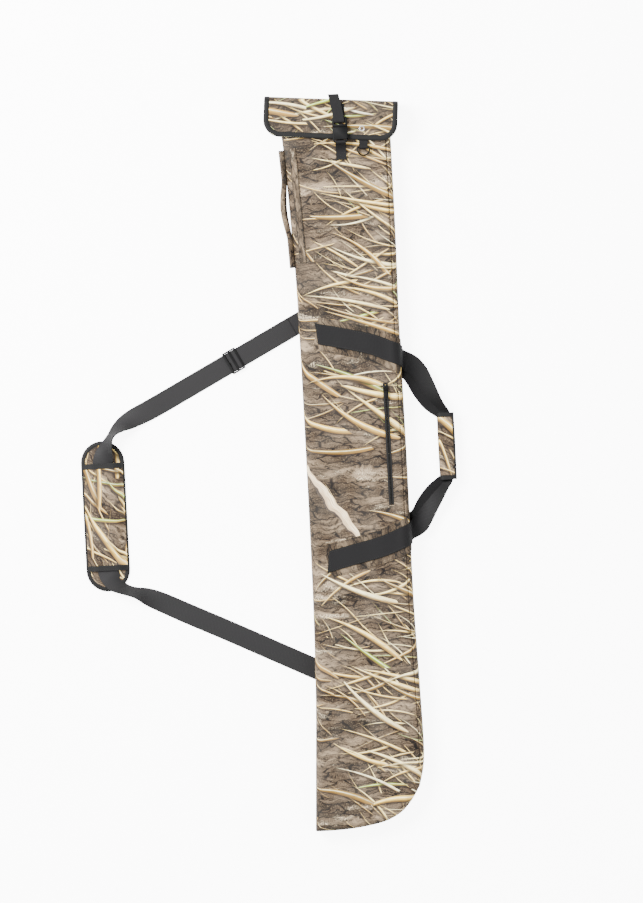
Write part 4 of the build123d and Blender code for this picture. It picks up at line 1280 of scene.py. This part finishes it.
# ================================================================ shoulder strap
pad_x, pad_y, pad_radius, pad_straight = -471.0, -69.0, 40.25, 100.25
sleeve_low, sleeve_high = -171.0, 30.0
strap_run = [
    (-66, 286.4, 1.02, 38, 0), (-84, 277, 1.02, 38, 0), (-102, 268, 1.05, 38, 0),
    (-160, 238, 1.1, 38, 0), (-218, 208, 1.1, 38, 0), (-300, 165.5, 1.1, 38, 0),
    (-370, 129.5, 1.4, 38, 0), (-412, 110, 5.5, 36, 14), (-438, 95, 14.5, 33, 48),
    (-453, 80, 18.5, 32, 66), (-462, 60, 16.5, 34, 44), (-468, 42, 11.0, 37, 12), (-471, 26, 8.6, 38, 0),
    (-471, -20, 8.5, 38, 0), (-471, -70, 8.5, 38, 0), (-471, -120, 8.5, 38, 0), (-471, -168, 8.6, 38, 0),
    (-468, -182, 9.8, 37, -6), (-459, -196, 11.0, 33, -24), (-441, -207, 12.5, 31, -50),
    (-420, -215, 11.5, 30, -48), (-398, -224, 5.4, 34, -16), (-372, -236, 1.6, 37, 0),
    (-326, -259, 1.1, 38, 0), (-250, -296, 1.1, 38, 0), (-180, -331, 1.1, 38, 0),
    (-120, -361, 1.1, 38, 0), (-98, -372, 1.05, 38, 0), (-84, -379, 1.02, 38, 0),
    (-66, -388, 1.02, 38, 0),
]


def pad_ring(inset, z, steps=16):
    """One closed ring of the pad's plan, drawn in by inset."""
    radius = max(pad_radius - inset, 0.5)
    ring = []
    for end, start in ((1, 0), (-1, 180)):
        for turn in np.radians(np.linspace(start, start + 180, steps)):
            ring.append((pad_x + radius * math.cos(turn),
                         pad_y + end * pad_straight + radius * math.sin(turn), z))
        for share in np.linspace(0, 1, 22)[1:-1]:
            ring.append((pad_x - end * radius, pad_y + end * pad_straight * (1 - 2 * share), z))
    return ring


def pad_top(x, y):
    """Height of the pad's upper face: full in the middle, pulled down at its binding."""
    dy = max(abs(y - pad_y) - pad_straight, 0)
    inset = pad_radius - math.hypot(x - pad_x, dy)
    crown = 2.8 * (1 - math.exp(-max(inset - 6, 0) / 7))
    return 4.6 + crown + 0.25 * noise.noise(Vector((x * 0.06, y * 0.05, 2)))


def sleeve_z(x, y):
    """Height of the cover over the webbing that runs through the pad."""
    off = abs(x - pad_x)
    over = 10.9 + 0.5 * math.sin(math.pi * (y - sleeve_low) / (sleeve_high - sleeve_low))
    share = min(max((off - 18.5) / 15.0, 0), 1)
    share = share * share * (3 - 2 * share)
    return over + (pad_top(x, y) + 1.1 - over) * share


def make_pad():
    insets = [1.0, 3, 6, 9, 12, 16, 21, 27, 33, 38]
    rings = [pad_ring(i, 0.45 + (1.2 if i < 2 else 0)) for i in insets[::-1]]
    for inset in insets:
        ring = pad_ring(inset, 0)
        rings.append([(x, y, pad_top(x, y) - (1.0 if inset < 2 else 0)) for x, y, _ in ring])
    around = len(rings[0])
    points = [p for ring in rings for p in ring]
    faces = ring_faces(len(rings), around) + end_caps(len(rings), around)
    base = make_piece("pad_body", points, faces, camo_pad)
    ring = pad_ring(0, 2.6)
    path = []
    for x, y, z in ring:
        dy = y - pad_y
        inward = unit(np.array((pad_x - x, -math.copysign(max(abs(dy) - pad_straight, 0), dy), 0)))
        path.append((np.array((x, y, z)), inward, upward))
    binding = bound_edge("pad_edge_binding", path, binding_tape, reach=9.0,
                         thickness=2.35, closed=True)
    rows = [[(x, y, sleeve_z(x, y)) for x in np.linspace(pad_x - 37, pad_x + 37, 23)]
            for y in np.linspace(sleeve_low + 1, sleeve_high - 1, 50)]
    cover = woven_solid("pad_sleeve", rows, 1.4, camo_pad)
    bands = []
    for label, y0 in (("high", sleeve_high - 10), ("low", sleeve_low)):
        rows = [[(x, y, sleeve_z(x, y) + 0.4) for x in np.linspace(pad_x - 38, pad_x + 38, 23)]
                for y in np.linspace(y0, y0 + 10, 5)]
        bands.append(woven_solid(f"pad_cross_band_{label}", rows, 2.8, binding_tape))
    lines = [[(x, y, pad_top(x, y) + 0.9) for x, y, _ in [*pad_ring(7.6, 0), pad_ring(7.6, 0)[0]]]]
    for y in (sleeve_high - 8.2, sleeve_high - 1.6, sleeve_low + 1.6, sleeve_low + 8.2):
        lines.append([(x, y, sleeve_z(x, y) + 1.9) for x in np.linspace(pad_x - 36, pad_x + 36, 30)])
    stitches = stitch_row("pad_stitches", lines, black_thread, 4.0, 2.8, 0.36)
    for piece in (base, binding, cover, stitches, *bands):
        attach(piece, "shoulder_strap")
    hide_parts("pad_base")
    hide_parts("pad_binding")
    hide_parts("pad_cover")
    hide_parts("pad_cross_bands")


def make_strap():
    strap = woven_solid("shoulder_webbing", strap_rows(strap_run, 4.0, 9), 2.0, strap_webbing)
    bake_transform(strap)
    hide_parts("strap_upper_anchor", "strap_lower_anchor", "strap_upper_webbing",
                "strap_lower_webbing", "strap_pad_webbing")
    returned = [
        (-104, 267, 3.3, 37.6, 0), (-160, 238, 3.3, 37.6, 0), (-218, 208, 3.2, 37.6, 0),
        (-222.5, 205.7, 3.2, 37.6, 0),
    ]
    layer = woven_solid("shoulder_return_webbing", strap_rows(returned, 4.0, 9), 2.0,
                        strap_webbing)
    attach(layer, "shoulder_strap")
    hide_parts("strap_return_webbing")


make_pad()
make_strap()


# ================================================================ hard parts
def dress(node, finish, bevel, segments=3):
    """Gives a hard part its finish and breaks its sharp edges."""
    part = nodes[node]
    part.data.materials.clear()
    part.data.materials.append(finish)
    weld = part.modifiers.new("weld", "WELD")
    weld.merge_threshold = 0.00001
    round_over = part.modifiers.new("broken_edges", "BEVEL")
    round_over.width, round_over.segments = bevel * mm, segments
    round_over.limit_method, round_over.angle_limit = "ANGLE", math.radians(35)
    round_over.harden_normals = True
    part.data.shade_smooth()


for node, finish, bevel in (
        ("buckle_female", buckle_plastic, 0.7), ("buckle_male", buckle_plastic, 0.5),
        ("tri_glide", buckle_plastic, 0.6), ("d_ring", black_plate, 0.2),
        ("hang_eyelet", bright_plate, 0.3), ("zipper_slider", black_plate, 0.3),
        ("zipper_pull", black_plate, 0.3), ("zipper_stops", black_plate, 0.3)):
    dress(node, finish, bevel)


# ================================================================ studio
def make_floor():
    size = 40.0
    mesh = bpy.data.meshes.new("floor")
    corners = [(-size, -size, 0), (size, -size, 0), (size, size, 0), (-size, size, 0)]
    mesh.from_pydata(corners, [], [(0, 1, 2, 3)])
    floor = bpy.data.objects.new("floor", mesh)
    bpy.context.scene.collection.objects.link(floor)
    paper, b, shader = new_finish("studio_paper")
    set_shader(shader, Roughness=0.9, Specular_IOR_Level=0.1, Base_Color=(0.9, 0.9, 0.9, 1),
               Emission_Color=(1, 1, 1, 1))
    seen = b.add("LightPath").outputs["Is Camera Ray"]
    b.wire(shader.inputs["Emission Strength"], b.math("MULTIPLY", seen, 7.5))
    mesh.materials.append(paper)


def soft_light(name, place, aim, size, power, colour=(1, 1, 1)):
    lamp = bpy.data.lights.new(name, "AREA")
    lamp.shape, lamp.size, lamp.energy, lamp.color = "DISK", size, power, colour
    light = bpy.data.objects.new(name, lamp)
    light.location = place
    light.rotation_euler = (Vector(aim) - Vector(place)).to_track_quat("-Z", "Y").to_euler()
    bpy.context.scene.collection.objects.link(light)


def make_studio():
    make_floor()
    soft_light("key", (-1.9, 1.3, 2.6), (0, 0, 0), 1.8, 430)
    soft_light("fill", (2.4, -1.6, 2.8), (0, 0, 0), 3.0, 80)
    world = bpy.data.worlds.new("room")
    world.use_nodes = True
    set_shader(world.node_tree.nodes["Background"], Color=(1, 1, 1, 1), Strength=1.6)
    bpy.context.scene.world = world
    view_height, view_span, film = 8.0, 1.690, 36.0
    lens = bpy.data.cameras.new("camera")
    lens.sensor_width, lens.lens = film, film * view_height / view_span
    camera = bpy.data.objects.new("camera", lens)
    camera.location = (-0.061, 0.031, view_height)
    camera.rotation_euler = (0, 0, math.radians(-3))
    bpy.context.scene.collection.objects.link(camera)
    bpy.context.scene.camera = camera


make_studio()
